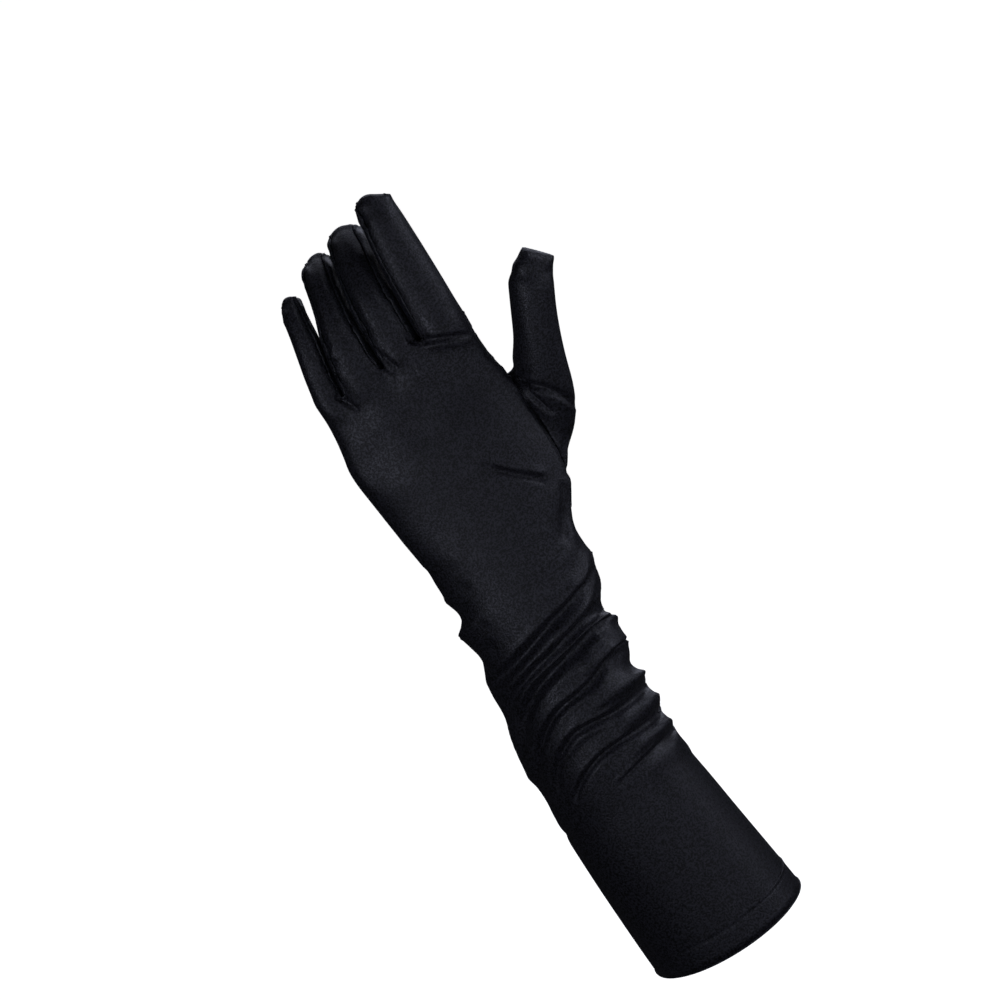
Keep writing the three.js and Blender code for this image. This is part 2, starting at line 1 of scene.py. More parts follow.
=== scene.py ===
# %% [markdown]
# # A long black satin dress glove
#
# The glove is one soft skin, cut and sewn from six pieces of stretch satin, with a turned hem. The hard
# frame holds that skin as thick flat facets, which physics needs. This lesson takes the outer side of
# those facets, makes it smooth cloth, lays the small folds in it, opens the seams and gives it its finish.
#
# All numbers below are in metres, so `MM` turns a tailor's size into one.

# %% the frame
import math

import bmesh
import bpy
import numpy as np
from mathutils import Matrix, Vector
from mathutils.kdtree import KDTree


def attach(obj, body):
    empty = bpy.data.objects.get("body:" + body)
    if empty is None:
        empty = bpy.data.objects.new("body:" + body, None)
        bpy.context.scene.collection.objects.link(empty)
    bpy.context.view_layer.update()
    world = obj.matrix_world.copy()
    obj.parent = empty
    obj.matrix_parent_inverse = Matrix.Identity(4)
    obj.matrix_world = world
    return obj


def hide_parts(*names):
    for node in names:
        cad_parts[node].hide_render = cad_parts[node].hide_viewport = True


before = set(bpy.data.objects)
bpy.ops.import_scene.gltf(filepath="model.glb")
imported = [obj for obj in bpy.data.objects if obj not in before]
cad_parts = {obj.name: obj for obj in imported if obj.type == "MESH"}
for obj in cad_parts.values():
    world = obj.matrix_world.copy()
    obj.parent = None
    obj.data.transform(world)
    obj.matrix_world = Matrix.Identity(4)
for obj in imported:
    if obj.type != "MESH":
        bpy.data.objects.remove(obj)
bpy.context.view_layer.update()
scene = bpy.context.scene
MM = 0.001
print("frame nodes:", sorted(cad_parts))

# %% [markdown]
# ## The camera
#
# The glove is seen from the back of the hand, from a little above, and the picture is turned so that the
# forearm leans to the left. The camera's three axes are worked out as vectors, because the tables and the
# lights below use them too. The lens is long and far away, so near and far parts keep the same scale.

# %% camera
CAMERA_DOWN = math.radians(17)
FOREARM_LEAN = math.radians(33)
CAMERA_DISTANCE = 6.0
SENSOR_WIDTH = 36                    # millimetres, as in a full-frame camera
FURTHEST_SEEN = 30                   # metres
PICTURE_WIDTH = 1000 / 2300          # metres of the object across the picture
CAMERA_TARGET = Vector((17.9, 0, 220.9)) * MM

looking = Vector((0, math.cos(CAMERA_DOWN), -math.sin(CAMERA_DOWN)))
upright = Vector((0, math.sin(CAMERA_DOWN), math.cos(CAMERA_DOWN)))
sideways = Vector((1, 0, 0))
picture_right = sideways * math.cos(FOREARM_LEAN) - upright * math.sin(FOREARM_LEAN)
picture_up = sideways * math.sin(FOREARM_LEAN) + upright * math.cos(FOREARM_LEAN)

camera_data = bpy.data.cameras.new("camera")
camera_data.sensor_width = SENSOR_WIDTH
camera_data.lens = SENSOR_WIDTH * CAMERA_DISTANCE / PICTURE_WIDTH
camera_data.clip_end = FURTHEST_SEEN
camera = bpy.data.objects.new("camera", camera_data)
scene.collection.objects.link(camera)
camera_axes = Matrix((picture_right, picture_up, -looking)).transposed()
camera.matrix_world = Matrix.LocRotScale(CAMERA_TARGET - looking * CAMERA_DISTANCE, camera_axes, None)
scene.camera = camera
print("lens", round(camera_data.lens), "mm")

# %% [markdown]
# ## The outer side of each cloth piece
#
# In the frame each piece is a closed solid: an outer side, an inner side 1.2 mm behind it and a narrow edge
# between them. The short edges that are exactly as long as the cloth is thick belong to the narrow edge, so
# their faces are taken out and the solid falls into two sheets. The outer one has the larger area, because
# everything in a glove bulges outwards.

# %% outer sheets
CLOTH_PIECES = ["back_panel", "palm_panel", "thumb",
                "fourchette_little_ring", "fourchette_ring_middle", "fourchette_middle_index"]
CAD_WALL, WALL_TOLERANCE = 1.2 * MM, 0.004 * MM
SAME_PLACE = 0.001 * MM


def opened(*meshes):
    """A bmesh with all that is in some meshes."""
    cloth = bmesh.new()
    for mesh in meshes:
        cloth.from_mesh(mesh)
    return cloth


def closed(cloth, mesh):
    """Writes a bmesh into a mesh and lets go of the bmesh."""
    cloth.to_mesh(mesh)
    cloth.free()
    return mesh


def sheets_of(faces):
    """The connected groups among some faces of a bmesh, the largest area first."""
    left, sheets = set(faces), []
    while left:
        waiting = [left.pop()]
        sheet = []
        while waiting:
            face = waiting.pop()
            sheet.append(face)
            for edge in face.edges:
                for other in edge.link_faces:
                    if other in left:
                        left.remove(other)
                        waiting.append(other)
        sheets.append(sheet)
    return sorted(sheets, key=lambda sheet: -sum(face.calc_area() for face in sheet))


def outer_sheet(name):
    """A mesh with only the outer side of a piece, its faces marked with the piece's number."""
    cloth = opened(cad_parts[name].data)
    bmesh.ops.remove_doubles(cloth, verts=cloth.verts, dist=SAME_PLACE)
    across = [edge for edge in cloth.edges if abs(edge.calc_length() - CAD_WALL) < WALL_TOLERANCE]
    narrow = {face for edge in across for face in edge.link_faces}
    bmesh.ops.delete(cloth, geom=list(narrow), context="FACES")
    sheets = sheets_of(cloth.faces)
    unwanted = [face for sheet in sheets[1:] for face in sheet]
    bmesh.ops.delete(cloth, geom=unwanted, context="FACES")
    for face in cloth.faces:
        face.material_index = CLOTH_PIECES.index(name)
    print(name, "outer sheet:", len(cloth.faces), "faces")
    return closed(cloth, bpy.data.meshes.new(name + "_outer"))


sheet_meshes = [outer_sheet(piece_name) for piece_name in CLOTH_PIECES]
skin = opened(*sheet_meshes)
for sheet_mesh in sheet_meshes:
    bpy.data.meshes.remove(sheet_mesh)

# %% [markdown]
# ## Sewing the sheets into one skin
#
# The frame keeps its pieces about half a millimetre apart. To smooth across the seams, the sheets are first
# joined: border points of different pieces that are each other's nearest belong together, and each such
# group is welded at its middle. Merging by distance alone would also close the sharp forks between the
# fingers, where one piece's own points lie close together.

# %% weld the seams
SEAM_REACH = 2 * MM                  # how far the other piece's border may be
FLAT_ENOUGH = math.radians(70)       # two triangles that bend less become one face
SQUARE_ENOUGH = math.radians(75)     # if its corners are also this close to right angles


def weld_seams(cloth):
    """Joins the borders of the pieces, and says how many points went."""
    border = [vert for vert in cloth.verts if vert.is_boundary]
    piece_of = [vert.link_faces[0].material_index for vert in border]
    trees = {}
    for piece in set(piece_of):
        own = [i for i, p in enumerate(piece_of) if p == piece]
        trees[piece] = KDTree(len(own))
        for i in own:
            trees[piece].insert(border[i].co, i)
        trees[piece].balance()

    def nearest(i, piece):
        _, j, distance = trees[piece].find(border[i].co)
        return j if distance < SEAM_REACH else None

    group = list(range(len(border)))

    def leader(i):
        while group[i] != i:
            i = group[i]
        return i

    for i in range(len(border)):
        for piece in trees:
            if piece == piece_of[i]:
                continue
            j = nearest(i, piece)
            if j is not None and nearest(j, piece_of[i]) == i:
                group[leader(i)] = leader(j)
    members = {}
    for i in range(len(border)):
        members.setdefault(leader(i), []).append(border[i])
    targets = {}
    for verts in members.values():
        middle = sum((vert.co for vert in verts), Vector()) / len(verts)
        for vert in verts:
            vert.co = middle
            if vert is not verts[0]:
                targets[vert] = verts[0]
    bmesh.ops.weld_verts(cloth, targetmap=targets)
    return len(targets)


print("welded", weld_seams(skin), "points")
bmesh.ops.join_triangles(skin, faces=skin.faces, cmp_materials=True,
                         angle_face_threshold=FLAT_ENOUGH, angle_shape_threshold=SQUARE_ENOUGH)
print("skin:", len(skin.verts), "points,", len(skin.faces), "faces,",
      sum(edge.is_boundary for edge in skin.edges), "open edges")

# %% [markdown]
# ## Five fingers as groups of points
#
# Above the forks each finger is a connected group of faces, and so it is found. The tables are in the
# camera's own view, across and up the picture in millimetres. They say where the two edges of each finger
# run, which way it leans and what outline its tip has.

# %% tables of the fingers
PARTING = 290       # height in the picture above which the fingers are apart, in millimetres
THUMB_EDGE = 58     # place across where the thumb is already apart from the index finger
THUMB_FROM = 262    # height in the picture where the free part of the thumb begins
FINGERS = ["little", "ring", "middle", "index", "thumb"]
FINGER_EDGES = {    # height in the picture, left edge, right edge, in millimetres
    "little": [(290, -27.1, -12.6), (293.5, -26.3, -13), (301.2, -24.8, -11.9), (310.5, -22.6, -9.9),
        (316, -21.3, -9.2), (319.4, -20.5, -8.9), (326, -19.2, -8.2)],
    "ring": [(290, -14, 8.2), (294.1, -13.5, 7.5), (303.2, -12, 7.4), (312.2, -9.9, 8), (321.4, -6.5, 9.5),
        (329.7, -4.2, 11.1), (336.1, -2.8, 12.6)],
    "middle": [(290, 6.6, 28.2), (295.2, 7.1, 27.5), (305.3, 7.3, 27.7), (314.3, 8.1, 28.3),
        (323, 9.7, 29.4), (331.8, 11.5, 31), (338.8, 13.1, 32.2)],
    "index": [(295, 27, 49.2), (305.1, 27.6, 49.6), (316.2, 28.3, 49.9), (327.3, 29.6, 50.1),
        (337, 31, 50.2), (344.8, 32.2, 50.1)],
}
ENDS = {            # the end of each finger's middle line in the frame, and the way it points there
    "little": ((-12.9, 40.2, 338.8), (1, 9.7, 6.8)),
    "ring": ((6.4, 56, 343.4), (2.4, 15, 3.9)),
    "middle": ((22.2, 55, 346.8), (1.7, 15, 4.8)),
    "index": ((41.2, 26.4, 361.2), (1.7, 4, 15.7)),
    "thumb": ((87.1, 10.8, 303.5), (9.9, 0.2, 17.5)),
}
TIPS = {            # a point inside the tip, how many degrees the finger leans to the right, its outline
    "little": ((-12.6, 327.5), 12, ((-20.5, 319.5), (-19.1, 325), (-17.9, 330.1), (-17.2, 332.3),
        (-15.1, 334.6), (-13, 335.7), (-10.7, 335.4), (-8.4, 334.1), (-7.2, 332.1), (-7.4, 329.5),
        (-8, 326), (-8.8, 320))),
    "ring": ((5, 336), 14, ((-3.9, 329), (-3.1, 332.8), (-2.8, 336.7), (-1.8, 339.7), (0, 342.2), (3, 344),
        (6.5, 345.2), (9.3, 345.1), (11.7, 343.9), (13.4, 341.8), (13.6, 338.8), (12.4, 333))),
    "middle": ((22.6, 340), 8, ((12.2, 334.5), (13.7, 338), (14.2, 342), (15, 345.2), (16.7, 347.2),
        (19.3, 348.6), (22.1, 349.3), (24.8, 349.3), (26.9, 348.5), (29.2, 347.4), (31.2, 345.4),
        (32.4, 342.5), (32.2, 338))),
    "index": ((41.4, 344), 3, ((30.9, 340), (31.4, 343.6), (32.4, 347.6), (33.8, 351), (36.1, 353.2),
        (39, 354.2), (42, 353.8), (45, 352), (48, 350.1), (50.2, 348.6), (50.4, 347), (50.1, 344),
        (50.2, 338.8))),
    "thumb": ((84, 285), 33, ((66.5, 277.9), (69.6, 283.4), (73.1, 288.5), (77.2, 293.2), (81.5, 295.9),
        (84.9, 298), (86.3, 298.2), (88.7, 295.5), (92.3, 291.3), (95, 288.1), (95.2, 286.9), (93.2, 284.5),
        (89.9, 279.7), (86.2, 273.6))),
}

# %% part the fingers
def seen_from_camera(points):
    """Across and up in the picture, in millimetres, the picture turned upright."""
    return np.stack([points[:, 0], points @ np.array(upright)], axis=1) / MM


def lean_axis(lean):
    """The direction in the picture that leans to the right by some degrees."""
    return np.array([math.sin(math.radians(lean)), math.cos(math.radians(lean))])


def relax(cloth, chosen, times):
    """Moves points towards the middle of their neighbours, some times over."""
    for _ in range(times):
        bmesh.ops.smooth_vert(cloth, verts=chosen, factor=0.5, use_axis_x=True, use_axis_y=True,
                              use_axis_z=True)


def part_fingers(cloth):
    """The numbers of the points of each finger, as the camera sees them apart."""
    cloth.verts.index_update()
    cloth.verts.ensure_lookup_table()
    places = seen_from_camera(np.array([vert.co[:] for vert in cloth.verts]))
    parted = [face for face in cloth.faces if all(places[vert.index, 1] > PARTING for vert in face.verts)]
    groups = sorted(sheets_of(parted), key=lambda sheet: sum(
        face.calc_center_median().x for face in sheet) / len(sheet))
    members = {name: np.array(sorted({vert.index for face in sheet for vert in face.verts}))
               for name, sheet in zip(FINGERS, groups)}
    members["thumb"] = np.flatnonzero((places[:, 0] > THUMB_EDGE) & (places[:, 1] > THUMB_FROM))
    return members, places


# %% calm seams and fingertips
def in_seam(item):
    """Whether faces of different pieces meet at a point or an edge."""
    return len({face.material_index for face in item.link_faces}) > 1


def draw_straight(cloth, lowest, times):
    """Moves each point of a seam towards the middle of its two neighbours in the seam."""
    ways = {}
    for edge in cloth.edges:
        if in_seam(edge):
            for vert in edge.verts:
                ways.setdefault(vert, []).append(edge.other_vert(vert))
    seam = [vert for vert, others in ways.items() if len(others) == 2 and vert.co.z > lowest]
    for _ in range(times):
        middles = [(ways[vert][0].co + ways[vert][1].co) / 2 for vert in seam]
        for vert, middle in zip(seam, middles):
            vert.co = vert.co.lerp(middle, 0.5)


def round_ends(cloth, rounds):
    """Relaxes each finger's end: how far below the top of the finger, in millimetres, and how often."""
    members, places = part_fingers(cloth)
    rounded = []
    for name, (_, lean, _) in TIPS.items():
        along = places[members[name]] @ lean_axis(lean)
        for reach, times in rounds:
            relax(cloth, [cloth.verts[i] for i in members[name][along > along.max() - reach]], times)
        rounded.append(members[name][along > along.max() - rounds[0][0]])
    return members, np.concatenate(rounded)


# %% [markdown]
# ## Calming the waves of the frame
#
# The frame's rings of folds are right at the outline on the thumb's side. Elsewhere the fine folds of this
# script take their place, so the frame's waves are relaxed there first, and so are its dents below the
# webs of the fingers. `smooth_vert` moves each point towards the middle of its neighbours.

# %% relax the sleeve and the knuckles
SLEEVE_FOLDS = (74 * MM, 206 * MM)      # lowest and highest fold
THUMB_SIDE = 22 * MM                    # right of this the frame's waves stay as they are
CALM = 8 * MM                           # left of this, or behind it, they go almost flat
KNUCKLES = (256 * MM, 291 * MM)         # lowest and highest point of the dents below the webs
KNUCKLES_ACROSS = (-25 * MM, 45 * MM)
KNUCKLES_BACK = 10 * MM                 # the palm lies behind this
CAGE_ENDS = [(7, 3), (3.5, 2)]          # how far down a fingertip is relaxed, in millimetres, and how often
SLITS_FROM = 308 * MM                   # from here up the seams of the fingers are drawn straight

folded = [vert for vert in skin.verts if SLEEVE_FOLDS[0] < vert.co.z < SLEEVE_FOLDS[1]]
relax(skin, [vert for vert in folded if vert.co.x < THUMB_SIDE], times=1)
relax(skin, [vert for vert in folded if vert.co.x < CALM or vert.co.y > CALM], times=6)
knuckles = [vert for vert in skin.verts if KNUCKLES[0] < vert.co.z < KNUCKLES[1]
            and KNUCKLES_ACROSS[0] < vert.co.x < KNUCKLES_ACROSS[1] and vert.co.y < KNUCKLES_BACK]
relax(skin, knuckles, times=6)
_, ends = round_ends(skin, CAGE_ENDS)
draw_straight(skin, SLITS_FROM, times=2)
print("relaxed", len(folded), "points of the sleeve and", len(knuckles), "of the knuckles")

# %% [markdown]
# ## From facets to a smooth surface
#
# A Subdivision Surface modifier rounds the facets, but it also pulls the surface inside its control points:
# a fold that is one ring high would lose two thirds of its height. So the control points are moved out step
# by step, until the smoothed surface passes through the places where the points used to be.

# %% smooth the skin through its own points
SMOOTH_LEVELS = 2
FITTING_STEPS = 5
FITTING_PUSH = 1.5  # each step goes further than what is missing, as the smoothing takes some back


def shown(number):
    """A measured number, short enough to print."""
    return round(float(number), 2)


def mesh_object(name, mesh):
    """An object in the scene that shows a mesh."""
    made = bpy.data.objects.new(name, mesh)
    scene.collection.objects.link(made)
    return made


def points_of(mesh):
    flat = np.empty(len(mesh.vertices) * 3)
    mesh.vertices.foreach_get("co", flat)
    return flat.reshape(-1, 3)


def set_points(mesh, points):
    mesh.vertices.foreach_set("co", np.asarray(points, dtype=np.float64).ravel())
    mesh.update()


def evaluated_mesh(thing):
    depsgraph = bpy.context.evaluated_depsgraph_get()
    return bpy.data.meshes.new_from_object(thing.evaluated_get(depsgraph), depsgraph=depsgraph)


cage_mesh = closed(skin, bpy.data.meshes.new("cage"))
cage = mesh_object("cage", cage_mesh)
rounding = cage.modifiers.new("rounding", "SUBSURF")
rounding.levels = rounding.render_levels = SMOOTH_LEVELS
wanted = points_of(cage_mesh)
pushed = np.ones((len(wanted), 1))
pushed[ends] = 0    # the round ends of the fingers stay as soft as the modifier makes them
control = wanted.copy()
for step in range(FITTING_STEPS):
    smooth = evaluated_mesh(cage)
    reached = points_of(smooth)[:len(wanted)]
    bpy.data.meshes.remove(smooth)
    control += FITTING_PUSH * pushed * (wanted - reached)
    set_points(cage_mesh, control)
    print("fitting step", step, "largest miss", shown(abs(pushed * (wanted - reached)).max() / MM), "mm")
skin_mesh = evaluated_mesh(cage)
bpy.data.objects.remove(cage)
print("smooth skin:", len(skin_mesh.vertices), "points", len(skin_mesh.polygons), "faces")

# %% [markdown]
# ## More points where the cloth is creased
#
# Sharp creases need points less than a millimetre apart. A third smoothing level everywhere would make four
# times the points, so only the gathers, the thumb's root and the forks of the fingers are divided once more.

# %% finer cloth in the creased places
CREASED_PLACES = [                    # lowest and highest corner of a box, in millimetres
    ((-60, -60, 76), (60, 60, 178)),  # the gathers of the sleeve
    ((24, -60, 200), (70, 60, 268)),  # the thumb's root
    ((-24, -60, 274), (50, 60, 300)), # the forks of the fingers
]


def is_creased(place):
    """Whether a place lies in one of the boxes."""
    return any(all(low[i] * MM <= place[i] <= high[i] * MM for i in range(3)) for low, high in CREASED_PLACES)


skin = opened(skin_mesh)
creased = {face for face in skin.faces if is_creased(face.calc_center_median())}
bmesh.ops.subdivide_edges(skin, edges=list({edge for face in creased for edge in face.edges}), cuts=1,
                          smooth=1.0, use_grid_fill=True, use_only_quads=False)
bmesh.ops.triangulate(skin, faces=[face for face in skin.faces if len(face.verts) > 4])
closed(skin, skin_mesh)
print("creased skin:", len(skin_mesh.vertices), "points", len(skin_mesh.polygons), "faces")

# %% [markdown]
# ## Fingers that lie against each other
#
# On a resting hand the fingers touch. Between two of them one sees a dark slit and never daylight, but the
# frame has to keep its pieces a little apart. So each finger is measured as the camera sees it and fitted to
# its traced edges, height by height. Before that, it is slanted a little to the right in its depth, so that
# the slit isn't straight to look through. This squeezes the strips deep in the slits, and they cross
# themselves in places.
#
# The frame's fingers end blunt. Each end is laid on a rounded box first, and at last drawn out from a middle
# point to the traced outline of the tip.

# %% lines and measures in the picture
EDGE_STEP = 0.7     # millimetres between two measured heights
LINE_STEPS = 10     # straight bits between two given points


def smooth_line(given):
    """A Catmull-Rom curve through the given points."""
    p = np.array([given[0], *given, given[-1]], dtype=float)
    bits = []
    for i in range(1, len(p) - 2):
        t = np.linspace(0, 1, LINE_STEPS, endpoint=False)[:, None]
        a, b, c, d = p[i - 1], p[i], p[i + 1], p[i + 2]
        bits.append(0.5 * (2 * b + (c - a) * t + (2 * a - 5 * b + 4 * c - d) * t**2
                           + (3 * b - a - 3 * c + d) * t**3))
    return np.vstack([*bits, p[-1:]])


def furthest(places, heights, side):
    """The furthest place across, to the right (side 1) or the left (side -1), around each height."""
    found = []
    for height in heights:
        near = places[abs(places[:, 1] - height) < EDGE_STEP]
        found.append((near[:, 0] * side).max() * side)
    return np.array(found)


def ramp(values, start, end):
    """From 0 at the start to 1 at the end and straight in between. The end may be below the start."""
    return np.clip((values - start) / (end - start), 0, 1)


# %% round the ends and draw the seams straight
SEAMS_FROM = 200 * MM     # the lowest point of the seams that are drawn straight in the smooth cloth
SMOOTH_ENDS = [(8, 2)]    # how far down a fingertip is relaxed, in millimetres, and how often
DOME = 8                  # length of a finger's round end, in millimetres
DOME_BLEND = 0.5          # share of that length in which the finger goes over into the round end
RIM = 1.5                 # how far from the foot of the round end the finger's width is measured
BLUNT = 2.5               # 2 is an ellipsoid, and a higher number has more of a box

skin = opened(skin_mesh)
members, _ = round_ends(skin, SMOOTH_ENDS)
draw_straight(skin, SEAMS_FROM, times=12)
for name, own in members.items():
    end, way = (Vector(row) for row in ENDS[name])
    way.normalize()
    middle = (end * MM) - way * DOME * MM
    to_right = (sideways - way * way.dot(sideways)).normalized()
    turned = Matrix((to_right, way.cross(to_right), way))
    local = {i: turned @ (skin.verts[i].co - middle) for i in own}
    rim = np.array([place[:2] for place in local.values() if abs(place.z) < RIM * MM])
    low, high = rim.min(axis=0), rim.max(axis=0)
    centre = Vector((*(low + high) / 2, 0))
    half = (*(high - low) / 2, DOME * MM)
    for i, place in local.items():
        if place.z <= 0:
            continue
        ray = place - centre
        size = sum(abs(ray[axis] / half[axis]) ** BLUNT for axis in range(3)) ** (1 / BLUNT)
        share = min(place.z / (DOME * MM * DOME_BLEND), 1)
        skin.verts[i].co = turned.transposed() @ place.lerp(centre + ray / size, share) + middle
    print(name, "end is", shown(half[0] / MM * 2), "by", shown(half[1] / MM * 2), "mm")
closed(skin, skin_mesh)
print("points of the fingers:", {name: len(own) for name, own in members.items()})

# %% slant the fingers
FORK_FADE = (276, 288)      # heights between which the fit of the fingers dies out
FORK_REACH = 2              # how far above the parting height a finger's root is measured
DEPTH_SLANT = 0.12          # sideways for each millimetre of depth


def rows_of(name):
    """The heights at which a finger is measured."""
    return np.arange(PARTING + EDGE_STEP, TIPS[name][0][1], EDGE_STEP)


points = points_of(skin_mesh)
depth = points @ np.array(looking) / MM
places = seen_from_camera(points)
in_finger = np.zeros(len(points), dtype=bool)
middle_depth = np.zeros(len(points))
forks = []
for name in FINGER_EDGES:
    own = members[name]
    heights = rows_of(name)
    near = [depth[own][abs(places[own, 1] - height) < EDGE_STEP] for height in heights]
    middle_depth[own] = np.interp(places[own, 1], heights, [(one.min() + one.max()) / 2 for one in near])
    forks.append((places[own, 0][places[own, 1] < PARTING + FORK_REACH].mean(),
                  middle_depth[own][places[own, 1].argmin()]))
    in_finger[own] = True
below = ~in_finger & (places[:, 0] < THUMB_EDGE)
middle_depth[below] = np.interp(places[below, 0], *np.array(forks).T)
fade = ramp(places[:, 1], *FORK_FADE) * (in_finger | below)
slant = DEPTH_SLANT * (depth - middle_depth) * fade
points[:, 0] += slant * MM
print("the slant moves points by", shown(slant.min()), "to", shown(slant.max()), "mm")

# %% fit the fingers' edges
SLIT = 0.15                 # how wide the slit between two fingers still is below the parting height


def fit_between(across, left, right, wanted_left, wanted_right):
    """How far a place between two edges moves when both edges move."""
    return wanted_left - left + (across - left) * ((wanted_right - wanted_left) / (right - left) - 1)


places = seen_from_camera(points)
knots = []          # places across where the cloth is held below the parting height, now and wanted
for name, table in FINGER_EDGES.items():
    own = members[name]
    heights = rows_of(name)
    left, right = (np.interp(places[own, 1], heights, furthest(places[own], heights, side))
                   for side in (-1, 1))
    traced = np.array(table).T
    wanted_left, wanted_right = (np.interp(places[own, 1], traced[0], edge) for edge in traced[1:])
    points[own, 0] += fit_between(places[own, 0], left, right, wanted_left, wanted_right) * MM
    lowest = places[own, 1].argmin()
    knots += [[left[lowest], wanted_left[lowest]], [right[lowest], wanted_right[lowest]]]
    print(name, "edges were off by", shown(abs(wanted_left - left).mean()), "and",
          shown(abs(wanted_right - right).mean()), "mm")
for before, after in zip(knots[1:-1:2], knots[2::2]):
    print("slit of", shown(after[0] - before[0]), "mm at", shown(before[0]))
    for state, half in ((0, max((after[0] - before[0]) / 2, SLIT / 2)), (1, SLIT / 2)):
        middle = (before[state] + after[state]) / 2
        before[state], after[state] = middle - half, middle + half
knots = np.array([*knots, [THUMB_EDGE, THUMB_EDGE]])
points[below, 0] += (np.interp(places[below, 0], knots[:, 0], knots[:, 1] - knots[:, 0]) * fade[below]) * MM

# %% move the thumb's seam
SEAM_SHIFT = 1.6            # how far it moves to the right at most
SEAM_PLACE, SEAM_WIDTH = 50, 5
SEAM_RISE, SEAM_FALL = (196, 208), (268, 258)       # heights from none to all and from none to all again

places = seen_from_camera(points)
fade = ramp(places[:, 1], *SEAM_RISE) * ramp(places[:, 1], *SEAM_FALL)
seam_shift = SEAM_SHIFT * np.exp(-((places[:, 0] - SEAM_PLACE) / SEAM_WIDTH) ** 2) * fade
points[:, 0] += seam_shift * MM
print("the thumb's seam moves by up to", shown(seam_shift.max()), "mm")

# %% fit the tips
TIP_TURNS = np.arange(-110, 111, 5)         # directions round a tip, in degrees from the finger's own
TURN_REACH = 6                              # degrees to each side in which the tip's radius is measured
TIP_HOLD = (105, 85)                        # the fit dies out between these turns
TIP_SOFTENING = (0.1, 0.2, 0.4, 0.2, 0.1)   # shares of neighbouring directions in one

for name, (centre, lean, outline) in TIPS.items():
    own = members[name]
    axis = lean_axis(lean)
    side = np.array([-axis[1], axis[0]])

    def around(places):
        rel = places - centre
        return np.degrees(np.arctan2(rel @ side, rel @ axis)), np.hypot(*rel.T)

    turn, radius = around(seen_from_camera(points[own]))
    traced_turn, traced_radius = around(smooth_line(outline)[::-1])
    now = np.array([radius[abs(turn - at) < TURN_REACH].max() for at in TIP_TURNS])
    now = np.convolve(np.pad(now, 2, mode="edge"), TIP_SOFTENING, mode="valid")
    stretch = (np.interp(TIP_TURNS, traced_turn, traced_radius) / now - 1) * ramp(abs(TIP_TURNS), *TIP_HOLD)
    scale = np.interp(turn, TIP_TURNS, 1 + stretch)
    moved = (seen_from_camera(points[own]) - centre) * (scale - 1)[:, None] * MM
    points[own] += moved[:, :1] * np.array(sideways) + moved[:, 1:] * np.array(upright)
    print(name, "tip is drawn out by", shown((stretch * now).min()), "to", shown((stretch * now).max()), "mm")
set_points(skin_mesh, points)

# %% [markdown]
# ## The folds of the sleeve
#
# A sleeve that is pushed down hangs in folds: the cloth slopes gently out to a sharp crest and turns back
# under it. From above the slope catches the light, and the part under the crest is black. The frame has the
# large waves. The crests are drawn here as lines in the camera's own view, across and up the picture in
# millimetres, from the thumb's side to the little finger's. Each point of the cloth looks for the nearest
# place on each line and moves out or in by its distance above or below it. Behind the arm the lines run on,
# mirrored, so that no fold ends at the outline.

# %% tables of folds and grooves
CRESTS = [  # crest height, depth under it at both ends of the line, distance of that depth at both ends, line
    (0.5, 0.7, 2.0, 1.5, 3.2, ((39, 173), (36.4, 169), (32.9, 165), (29.3, 162.5), (25, 161.3),
        (19.3, 159.6), (13.6, 158.2), (7.9, 157.3), (0, 155.3), (-10, 152.8), (-20, 150.8), (-27, 150),
        (-34, 149))),
    (0.3, 1.2, 1.2, 2.4, 2.4, ((40, 168), (37, 164), (33, 158.5), (29, 154.3), (25, 152.2), (19.3, 150),
        (13.6, 148.5), (7.9, 147.3), (0, 145.6), (-9.3, 144), (-17, 142), (-24, 139.5), (-30, 134.5),
        (-36, 128))),
    (0.7, 1.6, 2.2, 1.9, 3.6, ((37, 143), (33.4, 142.4), (30, 143.6), (26.4, 144.1), (19.3, 143.2),
        (13.6, 142.2), (7.9, 141.1), (2.1, 140.1), (-3.6, 139.2), (-12.1, 137.5), (-17.1, 136),
        (-21.4, 133.8), (-26, 130.8), (-30, 127), (-33.5, 121.5), (-36.5, 114))),
    (0.5, 1.2, 1.4, 2.0, 1.8, ((35, 131.5), (29.3, 131.4), (22.9, 130.4), (17.9, 129.1), (12.1, 126.6),
        (7.9, 125.2), (3.6, 124.2), (-2.1, 123.5), (-7.9, 123), (-12.9, 122), (-16.4, 120.6), (-20, 118.7),
        (-23.6, 116.2), (-27.1, 113), (-30.7, 108.9), (-34.3, 103.4), (-38, 96))),
    (0.5, 1.2, 0.9, 1.9, 1.6, ((34, 112.5), (28.6, 111.4), (22.9, 110.1), (17.9, 109.3), (10.7, 108.8),
        (5, 108.9), (-2, 109.8), (-9, 110.2), (-13.6, 109.3), (-18.6, 107.1), (-22.9, 104.3), (-26, 101),
        (-30, 95.5), (-33, 89))),
    (0.6, 1.3, 0.7, 1.7, 1.4, ((33, 100.5), (26.4, 98.6), (19.3, 97), (12.1, 96.4), (5, 96.3), (-2.1, 96.1),
        (-7.9, 95.4), (-12.9, 93.9), (-16.4, 92.5), (-20, 90.6), (-24, 88), (-28, 84))),
    (0.4, 0.7, 0.3, 1.4, 1.0, ((34, 89.5), (26.4, 87.6), (19.3, 86.1), (12.1, 84.6), (5, 83.2), (-0.7, 82),
        (-7, 80.6))),
]
